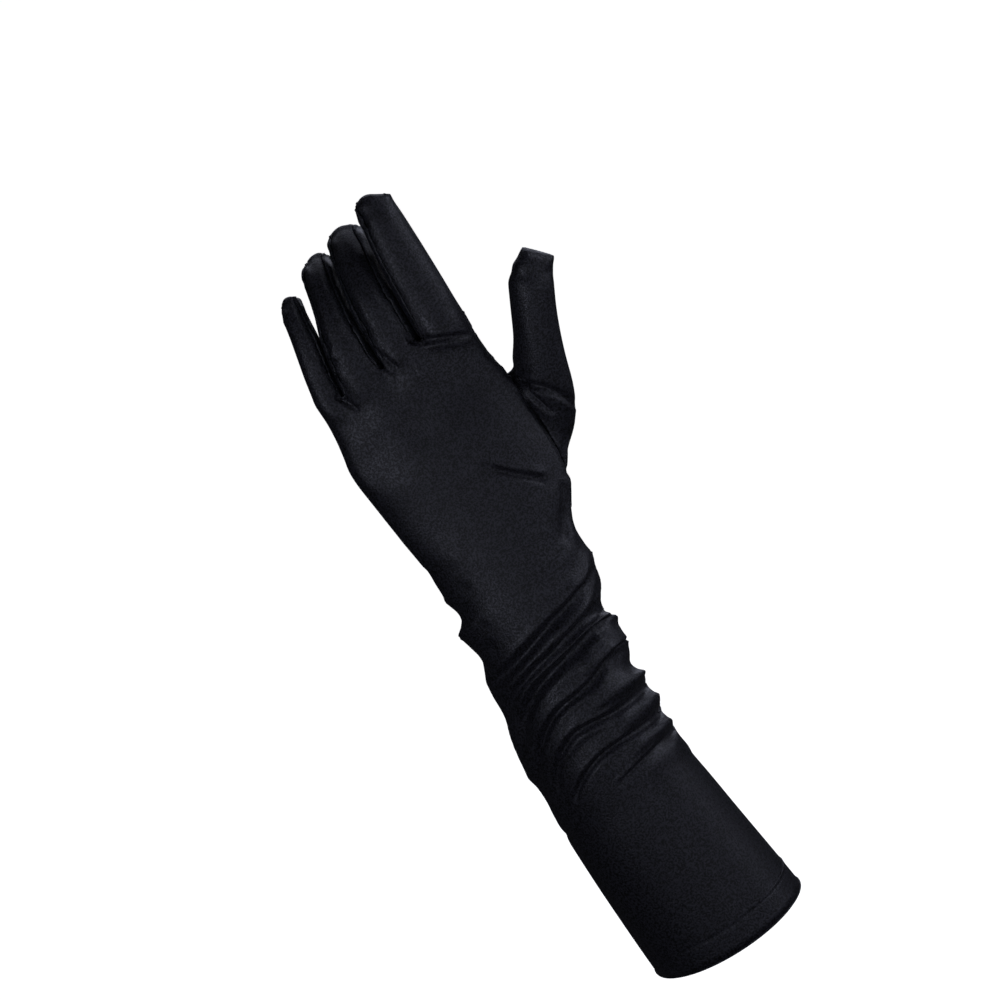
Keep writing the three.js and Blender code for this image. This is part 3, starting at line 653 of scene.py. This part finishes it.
GROOVES = [  # depth, width, the line
    (0.35, 0.8, ((33, 167.5), (29.3, 164.4), (23.6, 161.9), (19.3, 160.9), (13.6, 159.7), (7.9, 158.7),
        (2, 158))),
    (0.35, 0.6, ((30, 145.4), (26.4, 145.4), (22.9, 144.2), (16.4, 143.1), (10.7, 142.1), (5, 141.1),
        (-0.7, 140.1), (-8, 138.8), (-14, 137.4), (-20, 135), (-25, 132), (-29, 128.6))),
    (0.3, 0.8, ((30, 133.4), (23, 132), (16, 129.8), (10, 127.4), (3, 125.8))),
    (0.35, 0.7, ((29, 112.6), (22.9, 111.4), (17.9, 110.8), (12, 110.6), (5, 110.9), (-2, 111.2),
        (-9, 111.4))),
    (0.3, 0.7, ((28, 100), (19.3, 98.1), (12.1, 97.5), (1.4, 97.3), (-5, 96.9), (-10.7, 96),
        (-16.4, 93.9))),
    (0.35, 0.7, ((29.5, 89.2), (19.3, 87.3), (12.1, 85.8), (5, 84.5), (-2, 83.4), (-8, 82.4))),
    (0.5, 1.6, ((30, 105.2), (19.3, 103), (5, 102.7), (-9.3, 102.1), (-16.4, 100), (-23.6, 95.7),
        (-28, 91))),
    (0.3, 1.5, ((30, 118), (19, 116.8), (8, 115.6), (-4, 116.2), (-12, 115.2))),
    (0.3, 1.3, ((28, 94), (17, 91.6), (5, 90.2), (-5, 89.4))),
    (0.4, 1.5, ((29, 137.4), (22, 136.2), (14, 134), (4, 131.6))),
    (0.45, 1.8, ((33, 170), (30.7, 167.9), (26.4, 165.4), (20.7, 164.3), (13.6, 163.9), (6, 163.7))),
    (0.6, 1.1, ((38, 186), (34.3, 180.4), (30.7, 178.2), (26.4, 176.4), (21.4, 175.4), (14, 174.2),
        (6, 173.6))),
    (0.4, 2.6, ((41, 192), (35.7, 187), (31.4, 183.6), (26.4, 180.7), (18, 178.4))),
    (0.9, 2.2, ((-34, 193), (-25, 195), (-20, 196.2), (-13, 199))),
    (0.9, 2.2, ((-34, 179), (-25, 181.6), (-20, 184.2), (-13, 188))),
    (1.0, 2.0, ((-36, 167.5), (-27, 167.8), (-20, 168.4), (-15, 170))),
    (1.3, 2.4, ((-25, 161.5), (-22, 159.2), (-18.5, 158))),
]

HAND_CRESTS = [  # on the back of the hand only; a line that runs to the right has its depth above it
    (0.35, 1.1, 0.6, 1.4, 1.2, ((20, 290.2), (23.6, 287.4), (28.8, 284.4), (34.2, 281.8), (39.6, 279.6),
        (46, 276.8))),
    (0.4, 0.9, 0.6, 1.6, 1.5, ((41.5, 209), (36.8, 213.4), (32.2, 217.6), (27.5, 222), (20, 230.5))),
    (0.4, 0.8, 0.6, 1.5, 1.5, ((50, 250.5), (54, 245), (58, 241), (62, 236), (65, 230.5), (67.5, 224.5))),
    (0.35, 0.7, 0.5, 1.2, 1.2, ((50.8, 252), (52.2, 245.5), (53.2, 240), (55, 233.5), (56.5, 229))),
    (0.4, 0.5, 0.4, 1.8, 2.0, ((33.5, 178.5), (37.9, 185), (40.7, 190), (44.3, 196.4), (47, 203))),
    (0.3, 0.6, 0.4, 1.0, 1.2, ((5, 294), (7.5, 290.5), (9, 286), (10, 282))),
    (0.2, 0.7, 0.4, 1.0, 1.2, ((-19, 287), (-16.8, 283.5), (-15, 279.5), (-14, 276))),
]
HAND_SWELLS = [  # height (below 0 it is a dent), width, the line
    (0.9, 4.5, ((-36, 259), (-28, 262.5), (-20, 265), (-8, 268), (5, 271), (16, 275), (24, 278))),
    (-0.7, 3.5, ((9, 283), (14, 281), (19, 280.5))),
    (-0.5, 5.0, ((-2, 254), (12, 259), (26, 262), (38, 262))),
    (-0.6, 2.4, ((51, 258.5), (54, 253.5), (57.5, 248.5))),
    (0.5, 6.0, ((-30, 222), (-24, 212), (-16, 203), (-8, 198))),
]

# %% how far a place is from a line
def beside_line(places, line):
    """How far each place is above the line (below is negative), and how far along it is, from 0 to 1."""
    start, along = line[:-1], np.diff(line, axis=0)
    length = np.hypot(*along.T)
    travelled = np.concatenate([[0], np.cumsum(length)])
    best, above, share = np.full(len(places), np.inf), np.zeros(len(places)), np.zeros(len(places))
    for i in range(len(start)):
        rel = places - start[i]
        t = np.clip(rel @ along[i] / length[i] ** 2, 0, 1)
        distance = np.hypot(*(rel - t[:, None] * along[i]).T)
        side = np.sign(along[i][1] * rel[:, 0] - along[i][0] * rel[:, 1])
        closer = distance < best
        best = np.where(closer, distance, best)
        above = np.where(closer, distance * side, above)
        share = np.where(closer, (travelled[i] + t * length[i]) / travelled[-1], share)
    return above, share


# %% fold the cloth
END_FADE = 0.12     # share of a line over which a fold dies out at each end
PALM_SHARE = 0.8    # how high the folds still are behind the arm
FOLD_DEPTH = 2.5    # the lines are traced but the depths estimated, and they need this much more to show
ROLL_HEIGHT = 1.7   # the same for the height of a crest
FOLD_WIDTH = 1.35   # the same for how far down the dark part of a fold reaches
SOFT_GROOVE = 1.3   # the same for the width of a groove
ROLL_ABOVE, ROLL_BELOW = 2.2, 0.8   # how far a crest reaches up and down, in millimetres
UNDER_SPREAD = 0.7  # how widely the depth under a crest spreads, as a share of its distance
FOLDS_END, FOLDS_FADE = 215 * MM, 10 * MM       # where the sleeve's folds end, and how far below they fade
AT_OUTLINE = 0.1    # how much of a fold is left where the cloth is seen edge on; the outline is fitted later
OUTLINE_POWER = 3   # a higher number keeps that to a narrower strip
FACING = 0.4        # the creases of the hand die out where the cloth turns away from the front
ARM_HEIGHTS = np.arange(0, 264, 12) * MM
ARM_SLAB, ARM_SIDE = 8 * MM, 45 * MM    # half the thickness of a measured slab, and where the thumb begins


def end_fade(share):
    return np.sin(np.clip(np.minimum(share, 1 - share) / END_FADE, 0, 1) * math.pi / 2)


def crest_push(places, height, depth_start, depth_end, width_start, width_end, given):
    above, share = beside_line(places, smooth_line(given))
    depth = FOLD_DEPTH * (depth_start + (depth_end - depth_start) * share)
    width = FOLD_WIDTH * (width_start + (width_end - width_start) * share)
    roll = ROLL_HEIGHT * height * np.exp(-(above / np.where(above > 0, ROLL_ABOVE, ROLL_BELOW)) ** 2)
    under = depth * np.exp(-((above + width) / (UNDER_SPREAD * width)) ** 2)
    return (roll - under) * end_fade(share)


def groove_push(places, depth, width, given):
    above, share = beside_line(places, smooth_line(given))
    return -depth * np.exp(-(above / (SOFT_GROOVE * width)) ** 2) * end_fade(share)


def middle_depths(points):
    """For each height, the depth half way between the front and the back of the arm."""
    middles = []
    for height in ARM_HEIGHTS:
        slab = points[(abs(points[:, 2] - height) < ARM_SLAB) & (points[:, 0] < ARM_SIDE)]
        middles.append((slab[:, 1].min() + slab[:, 1].max()) / 2)
    return ARM_HEIGHTS, middles


points = points_of(skin_mesh)
normals = np.empty(len(points) * 3)
skin_mesh.vertices.foreach_get("normal", normals)
normals = normals.reshape(-1, 3)
middle_y = np.interp(points[:, 2], *middle_depths(points))
to_front = points.copy()
to_front[:, 1] = middle_y - abs(points[:, 1] - middle_y)
places = seen_from_camera(to_front)
push = sum(crest_push(places, *row) for row in CRESTS) + sum(groove_push(places, *row) for row in GROOVES)
push *= np.where(points[:, 1] > middle_y, PALM_SHARE, 1)
push *= np.clip((FOLDS_END - points[:, 2]) / FOLDS_FADE, 0, 1)
push *= 1 - (1 - AT_OUTLINE) * abs(normals[:, 0]) ** OUTLINE_POWER
print("the folds push the cloth from", shown(push.min()), "to", shown(push.max()), "mm")
places = seen_from_camera(points)
push_hand = (sum(crest_push(places, *row) for row in HAND_CRESTS)
             - sum(groove_push(places, *row) for row in HAND_SWELLS))
push += push_hand * np.clip(-normals[:, 1] / FACING, 0, 1)
set_points(skin_mesh, points + normals * push[:, None] * MM)

# %% [markdown]
# ## The outline of the folded sleeve
#
# Where a fold meets the outline it stands out as a small corner, and the eye reads cloth from these corners.
# So the two edges of the sleeve are measured, compared with the traced ones, and the cloth near each edge is
# moved sideways by the difference. The middle of the sleeve stays where it is.

# %% tables of the two edges
RADIAL_EDGE = [  # height in the picture, place across
    (205, 51), (200, 48), (190, 41.6), (183, 38.9), (176, 38.6), (170, 39), (164, 37), (160, 36.2),
    (156.4, 34.9), (152.4, 32.6), (149.5, 30.6), (146.7, 30), (144, 31.6), (140.9, 33.5), (137.5, 32),
    (134.2, 31.7), (131, 31.9), (128.7, 31.4), (124, 29.2), (120.3, 27.2), (117.4, 28.4), (114.3, 30.7),
    (111.3, 29), (108.3, 27.9), (105.2, 28.8), (102.3, 30.3), (98.8, 28.8), (95.4, 27.2), (92.5, 27.9),
    (89.9, 28.9), (87, 28.1), (84.2, 27.8), (79, 28.3), (73, 29)
]
ULNAR_EDGE = [
    (205, -25), (196, -25.7), (190, -25.8), (186.5, -26.4), (182, -25), (178.7, -24.3), (175.6, -25.4),
    (172.6, -28.8), (170.9, -29.8), (168.2, -28.9), (163.4, -27.6), (157.8, -26.6), (153, -28.2),
    (148.3, -30.3), (141.2, -31.4), (131.4, -32), (123, -34.6), (116, -36.2), (108, -37.4), (102, -38.1),
    (96, -37), (90, -36.9), (84, -37.6), (78.7, -38), (73, -38.2)
]

# %% fit the outline
EDGE_FROM, EDGE_TO = 73, 205        # heights in the picture between which the outline is fitted
EDGE_FADES = (6, 10)                # the fit dies out over these lengths, below and above
EDGE_HOLD = 3       # how strongly the shift is kept to the edge; a higher number leaves the middle alone
EDGE_ROUNDS = 3     # the fit is made again, because moving the cloth changes which point is furthest
EDGE_SOFTENING = (0.25, 0.5, 0.25)

points = points_of(skin_mesh)
heights = np.arange(EDGE_FROM, EDGE_TO, EDGE_STEP)
for _ in range(EDGE_ROUNDS):
    places = seen_from_camera(points)
    sleeve = (places[:, 1] > EDGE_FROM) & (places[:, 1] < EDGE_TO) & (points[:, 2] < FOLDS_END)
    right_now, left_now = furthest(places[sleeve], heights, 1), furthest(places[sleeve], heights, -1)
    middle_now = (right_now + left_now) / 2
    across_middle = np.interp(places[:, 1], heights, middle_now)
    shift = np.zeros(len(points))
    for table, now in ((RADIAL_EDGE, right_now), (ULNAR_EDGE, left_now)):
        missing = np.interp(heights, *smooth_line(sorted(table)).T) - now
        missing = np.convolve(np.pad(missing, 1, "edge"), EDGE_SOFTENING, "valid")
        half_width = np.interp(places[:, 1], heights, now - middle_now)
        reach = np.clip((places[:, 0] - across_middle) / half_width, 0, 1)
        shift += np.interp(places[:, 1], heights, missing) * reach ** EDGE_HOLD
        print("outline was off by", shown(abs(missing).mean()), "mm, at most", shown(abs(missing).max()))
    fade = ramp(places[:, 1], EDGE_FROM, EDGE_FROM + EDGE_FADES[0])
    fade *= ramp(places[:, 1], EDGE_TO, EDGE_TO - EDGE_FADES[1])
    points[:, 0] += shift * fade * sleeve * MM
set_points(skin_mesh, points)

# %% [markdown]
# ## The line where the hem is sewn down
#
# The turned-up edge of the cuff is caught down by a row of small stitches. From outside they draw the satin
# in a little, in a faint line round the cuff. The mesh is too coarse for that line, so `bisect_plane` first
# cuts the cuff at the heights where the line starts, is deepest and ends.

# %% hem line
STITCH_LINE = 11 * MM
LINE_HALF_WIDTH = 0.7 * MM
LINE_DEPTH = 0.28 * MM
CUFF_TOP = 20 * MM
CUT_REACH = 0.02 * MM       # a point this close to the cut is used as it is
LINE_REACH = 0.05 * MM      # points this close to the line's height belong to it

skin = opened(skin_mesh)
for height in (STITCH_LINE - LINE_HALF_WIDTH, STITCH_LINE, STITCH_LINE + LINE_HALF_WIDTH):
    cuff_faces = [face for face in skin.faces if face.calc_center_median().z < CUFF_TOP]
    cuff_edges = {edge for face in cuff_faces for edge in face.edges}
    cuff_verts = {vert for face in cuff_faces for vert in face.verts}
    bmesh.ops.bisect_plane(skin, geom=[*cuff_verts, *cuff_edges, *cuff_faces], dist=CUT_REACH,
                           plane_co=(0, 0, height), plane_no=(0, 0, 1))
skin.normal_update()
line_points = [vert for vert in skin.verts if abs(vert.co.z - STITCH_LINE) < LINE_REACH]
for vert in line_points:
    vert.co -= vert.normal * LINE_DEPTH
hem_line = np.array([vert.co[:] for vert in line_points])
closed(skin, skin_mesh)
print("hem line:", len(hem_line), "points")

# %% [markdown]
# ## Seams
#
# The pieces are sewn face to face and turned, so from outside a seam is a fine valley where two edges dive
# in. `inset_region` draws a line half a millimetre inside the border of each piece, and then the border
# itself is pushed in. This is done on the joined skin, so that both edges of a seam dive to the same place.

# %% seam valleys
SEAM_SHOULDER = 0.55 * MM
SEAM_DEPTH = 0.5 * MM
PRESSED_REACH = 2.2 * MM

skin = opened(skin_mesh)
for number in range(len(CLOTH_PIECES)):
    piece_faces = [face for face in skin.faces if face.material_index == number]
    bmesh.ops.inset_region(skin, faces=piece_faces, use_boundary=False, use_even_offset=False,
                           thickness=SEAM_SHOULDER)
skin.normal_update()
seam_points = [vert for vert in skin.verts if in_seam(vert)]
for vert in seam_points:
    vert.co -= vert.normal * SEAM_DEPTH
seam_ends = [vert for vert in seam_points if not vert.is_boundary and sum(map(in_seam, vert.link_edges)) != 2]
end_tree = KDTree(len(seam_ends))
for number, vert in enumerate(seam_ends):
    end_tree.insert(vert.co, number)
end_tree.balance()
pressed = [vert for vert in skin.verts if end_tree.find(vert.co)[2] < PRESSED_REACH and not vert.is_boundary]
relax(skin, pressed, times=5)
skin.normal_update()
print(len(seam_points), "points lie in seams,", len(pressed), "are pressed flat where seams meet")

# %% [markdown]
# ## The hem
#
# The cuff's edge is turned in and up for 12 mm. The band is drawn out of the skin's own open edge with
# `extrude_edge_only`, ring by ring: round the turned edge first, then up inside the sleeve.

# %% hem band
HEM_PATH = [(0.10, -0.35), (0.45, -0.55), (0.85, -0.35), (1.0, 0.1), (1.0, 1.5), (1.0, 4.0), (1.05, 8.0),
            (1.1, 11.6), (1.0, 12.0)]      # in from the cuff and up, in millimetres


def hem_band(cloth):
    """The turned-up edge of the cuff, as a mesh of its own."""
    band = bmesh.new()
    ring = [edge for edge in cloth.edges if edge.is_boundary]
    rim = {vert: (vert.co.copy(), Vector((vert.normal.x, vert.normal.y, 0)).normalized())
           for edge in ring for vert in edge.verts}
    copies = {vert: band.verts.new(place) for vert, (place, _) in rim.items()}
    inwards = {copies[vert]: -out for vert, (_, out) in rim.items()}
    edges = [band.edges.new([copies[vert] for vert in edge.verts]) for edge in ring]
    starts = {vert: vert.co.copy() for vert in inwards}
    for inset, height in HEM_PATH:
        drawn = bmesh.ops.extrude_edge_only(band, edges=edges)["geom"]
        edges = [item for item in drawn if isinstance(item, bmesh.types.BMEdge) and item.is_boundary]
        moved = {}
        for vert in {vert for edge in edges for vert in edge.verts}:
            below = next(edge.other_vert(vert) for edge in vert.link_edges
                         if edge.other_vert(vert) in inwards)
            moved[vert] = (inwards[below], starts[below])
        for vert, (inward, start) in moved.items():
            inwards[vert], starts[vert] = inward, start
            vert.co = start + inward * inset * MM + Vector((0, 0, height * MM))
    bmesh.ops.recalc_face_normals(band, faces=band.faces)
    return closed(band, bpy.data.meshes.new("hem_band"))


hem_mesh = hem_band(skin)
print("hem band:", len(hem_mesh.vertices), "points")

# %% [markdown]
# ## The pieces, each with its own thickness
#
# Each piece is cut out of the finished skin and gets a wall with a Solidify modifier, which grows inwards,
# so the outside stays where it is. It takes the place of its hard node in the picture and rides on the same
# body.

# %% cut the pieces out
CLOTH_THICKNESS, HEM_THICKNESS = 0.7 * MM, 0.5 * MM


def finish_piece(name, mesh, node, thickness):
    """The visible piece of cloth that takes a node's place."""
    mesh.shade_smooth()
    piece = mesh_object(name, mesh)
    wall = piece.modifiers.new("thickness", "SOLIDIFY")
    wall.thickness = thickness
    wall.offset = -1
    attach(piece, "root")
    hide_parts(node)
    triangles = 2 * sum(len(polygon.vertices) - 2 for polygon in mesh.polygons)
    print(name, "has about", triangles, "triangles")
    return piece


closed(skin, skin_mesh)
pieces = []
for number, piece_name in enumerate(CLOTH_PIECES):
    cut = opened(skin_mesh)
    bmesh.ops.delete(cut, geom=[face for face in cut.faces if face.material_index != number], context="FACES")
    for face in cut.faces:
        face.material_index = 0
    piece_mesh = closed(cut, bpy.data.meshes.new(piece_name + "_satin"))
    pieces.append(finish_piece(piece_name + "_satin", piece_mesh, piece_name, CLOTH_THICKNESS))
pieces.append(finish_piece("hem_satin", hem_mesh, "hem", HEM_THICKNESS))

# %% [markdown]
# ## The stitches of the hem
#
# Each stitch is a short grain of thread that lies in the line. `create_icosphere` sets down a stretched ball
# every few millimetres, turned along the line.

# %% stitches
STITCH_EVERY = 2.6 * MM
STITCH_LENGTH = 1.5 * MM
THREAD = 0.3 * MM
LOOK_AHEAD = 0.3 * MM       # how far along the line its direction is taken
STITCH_OUT = 0.1 * MM

turn_round = np.arctan2(hem_line[:, 1] - hem_line[:, 1].mean(), hem_line[:, 0] - hem_line[:, 0].mean())
ring = hem_line[np.argsort(turn_round)]
ring = np.vstack([ring, ring[:1]])
travelled = np.concatenate([[0], np.cumsum(np.linalg.norm(np.diff(ring, axis=0), axis=1))])
stitch_count = int(travelled[-1] / STITCH_EVERY)
stitches = bmesh.new()
for number in range(stitch_count):
    at = travelled[-1] * (number + 0.5) / stitch_count
    here, ahead = (Vector([np.interp(at + step, travelled, ring[:, axis]) for axis in range(3)])
                   for step in (0, LOOK_AHEAD))
    along = (ahead - here).normalized()
    out = along.cross(Vector((0, 0, 1)))
    turned = Matrix((along, out, Vector((0, 0, 1)))).transposed().to_4x4()
    size = Matrix.Diagonal((STITCH_LENGTH, THREAD, THREAD, 1))
    bmesh.ops.create_icosphere(stitches, subdivisions=2, radius=0.5,
                               matrix=Matrix.Translation(here + out * STITCH_OUT) @ turned @ size)
stitch_mesh = closed(stitches, bpy.data.meshes.new("hem_stitches"))
stitch_mesh.shade_smooth()
stitch_piece = mesh_object("hem_stitches", stitch_mesh)
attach(stitch_piece, "root")
print(stitch_count, "stitches,", len(stitch_mesh.polygons), "faces")

# %% [markdown]
# ## Stretch satin
#
# Long bright threads lie close together on the face of satin. Black dye leaves almost no colour, so nearly
# all that the eye sees is a broad, soft gloss that fades into black, with a fine sparkle where single
# threads catch the light.

# %% satin material
def linear(colour):
    """Turns an sRGB hex colour such as #15181a into the linear colour that a shader wants."""
    parts = [int(colour[i:i + 2], 16) / 255 for i in (1, 3, 5)]
    return (*[part / 12.92 if part < 0.04045 else ((part + 0.055) / 1.055) ** 2.4 for part in parts], 1)


def add(tree, kind, settings=None, links=None):
    """Adds a shader node, sets its own settings and its sockets, and links sockets by name."""
    node = tree.nodes.new(kind)
    for name, value in (settings or {}).items():
        if name in node.inputs:
            node.inputs[name].default_value = value
        else:
            setattr(node, name, value)
    for name, source in (links or {}).items():
        tree.links.new(source, node.inputs[name])
    return node


GRAIN = 0.8    # millimetres between two knots of thread; real satin has about 0.3, too fine for this picture


def satin_material():
    material = bpy.data.materials.new("black stretch satin, woven and dyed")
    material.use_nodes = True
    tree = material.node_tree
    tree.nodes.clear()
    place = add(tree, "ShaderNodeTexCoord")
    noise = add(tree, "ShaderNodeTexNoise", {"Scale": 1000 / GRAIN, "Detail": 1.0, "Roughness": 0.6},
                {"Vector": place.outputs["Object"]})
    grain = add(tree, "ShaderNodeMapRange", {"From Min": 0.4, "From Max": 0.6},
                {"Value": noise.outputs["Fac"]})
    colour = add(tree, "ShaderNodeMix", {"data_type": "RGBA"}, {"Factor": grain.outputs["Result"]})
    colour.inputs["A"].default_value = linear("#000000")
    colour.inputs["B"].default_value = linear("#35353c")
    gloss = add(tree, "ShaderNodeMapRange", {"To Min": 0.52, "To Max": 0.4},
                {"Value": grain.outputs["Result"]})
    relief = add(tree, "ShaderNodeBump", {"Strength": 0.5, "Distance": 0.00015},
                 {"Height": grain.outputs["Result"]})
    surface = add(tree, "ShaderNodeBsdfPrincipled",
                  {"IOR": 1.5, "Sheen Weight": 0.03, "Sheen Roughness": 0.4},
                  {"Base Color": colour.outputs["Result"], "Roughness": gloss.outputs["Result"],
                   "Normal": relief.outputs["Normal"]})
    add(tree, "ShaderNodeOutputMaterial", {}, {"Surface": surface.outputs["BSDF"]})
    return material


satin = satin_material()
for piece in [*pieces, stitch_piece]:
    piece.data.materials.clear()
    piece.data.materials.append(satin)
print(satin.name, "on", len(pieces) + 1, "pieces")

# %% [markdown]
# ## The floor
#
# The floor is a wide pale dish, far below and around the glove, so every view has the same plain ground.
# The satin must not mirror it, or black would turn grey, so the dish is hidden from reflected rays.

# %% floor
DISH_PROFILE = [(0, -0.35), (6.0, -0.35), (7.2, -0.1), (7.9, 0.6), (8.2, 1.6), (8.2, 7.0)]

dish = bmesh.new()
profile = [dish.verts.new((across, 0, up)) for across, up in DISH_PROFILE]
profile_edges = [dish.edges.new(pair) for pair in zip(profile, profile[1:])]
bmesh.ops.spin(dish, geom=profile + profile_edges, cent=(0, 0, 0), axis=(0, 0, 1), angle=math.tau, steps=96,
               use_merge=True)
bmesh.ops.remove_doubles(dish, verts=dish.verts, dist=0.1 * MM)
bmesh.ops.recalc_face_normals(dish, faces=dish.faces)
bmesh.ops.reverse_faces(dish, faces=dish.faces)
floor_mesh = closed(dish, bpy.data.meshes.new("floor"))
floor_mesh.shade_smooth()
floor = mesh_object("floor", floor_mesh)
paper = bpy.data.materials.new("white background paper, matt")
paper.use_nodes = True
paper_surface = paper.node_tree.nodes["Principled BSDF"]
paper_surface.inputs["Base Color"].default_value = linear("#f4f4f2")
paper_surface.inputs["Roughness"].default_value = 0.9
paper_surface.inputs["Emission Color"].default_value = (1, 1, 1, 1)
paper_surface.inputs["Emission Strength"].default_value = 1.0
floor_mesh.materials.append(paper)
floor.visible_diffuse = floor.visible_glossy = False

# %% [markdown]
# ## Light on black satin
#
# Black satin shows hardly anything but reflections, so the lights draw its form. The photograph's bright and
# dark places fit a window in front, a little to the left, and a tall one on the right, which is three lamps
# here, at and above the height of the glove. Three weak ones fill the front and the right from a little
# below. Two more stand behind the glove, for the views from there and from above. In front nothing comes
# from far above or below, so the bent ends of the fingers and the undersides of the folds stay black. Each
# direction is given as degrees to the right of the camera and degrees above it, with the forearm upright.

# %% lights
LIGHT_DISTANCE = 1.5
LIGHT_COLOUR = "#e6eaff"     # cool daylight
AIR_STRENGTH = 0.01
LIGHTS = [  # name, degrees to the right, degrees up, size in metres, watts
    ("front_window", -30, 5, 0.55, 3.3),
    ("side_window", 90, 5, 0.55, 1.6),
    ("high_side_window", 90, 30, 0.55, 2.8),
    ("right_window", 60, 5, 0.55, 1.5),
    ("right_fill", 30, -20, 0.55, 1.0),
    ("low_fill", 0, -20, 0.55, 0.6),
    ("low_side_fill", 90, -20, 0.55, 0.5),
    ("behind", 165, 25, 0.8, 2.5),
    ("above_behind", 180, 70, 0.8, 0.25),
]


def window(name, azimuth, elevation, size, power):
    """A square area light turned to the glove."""
    data = bpy.data.lights.new(name, "AREA")
    data.size = size
    data.energy = power
    data.color = linear(LIGHT_COLOUR)[:3]
    lamp = bpy.data.objects.new(name, data)
    scene.collection.objects.link(lamp)
    across, up = math.radians(azimuth), math.radians(elevation)
    direction = (sideways * math.sin(across) * math.cos(up) + upright * math.sin(up)
                 - looking * math.cos(across) * math.cos(up))
    lamp.location = CAMERA_TARGET + direction * LIGHT_DISTANCE
    lamp.rotation_mode = "QUATERNION"
    lamp.rotation_quaternion = direction.to_track_quat("Z", "Y")
    lamp.visible_camera = False


for row in LIGHTS:
    window(*row)
print(len(LIGHTS), "lights")

world = bpy.data.worlds.new("studio air")
scene.world = world
world.use_nodes = True
background = world.node_tree.nodes["Background"]
background.inputs["Color"].default_value = linear("#ffffff")
background.inputs["Strength"].default_value = AIR_STRENGTH
scene.view_settings.view_transform = "Standard"
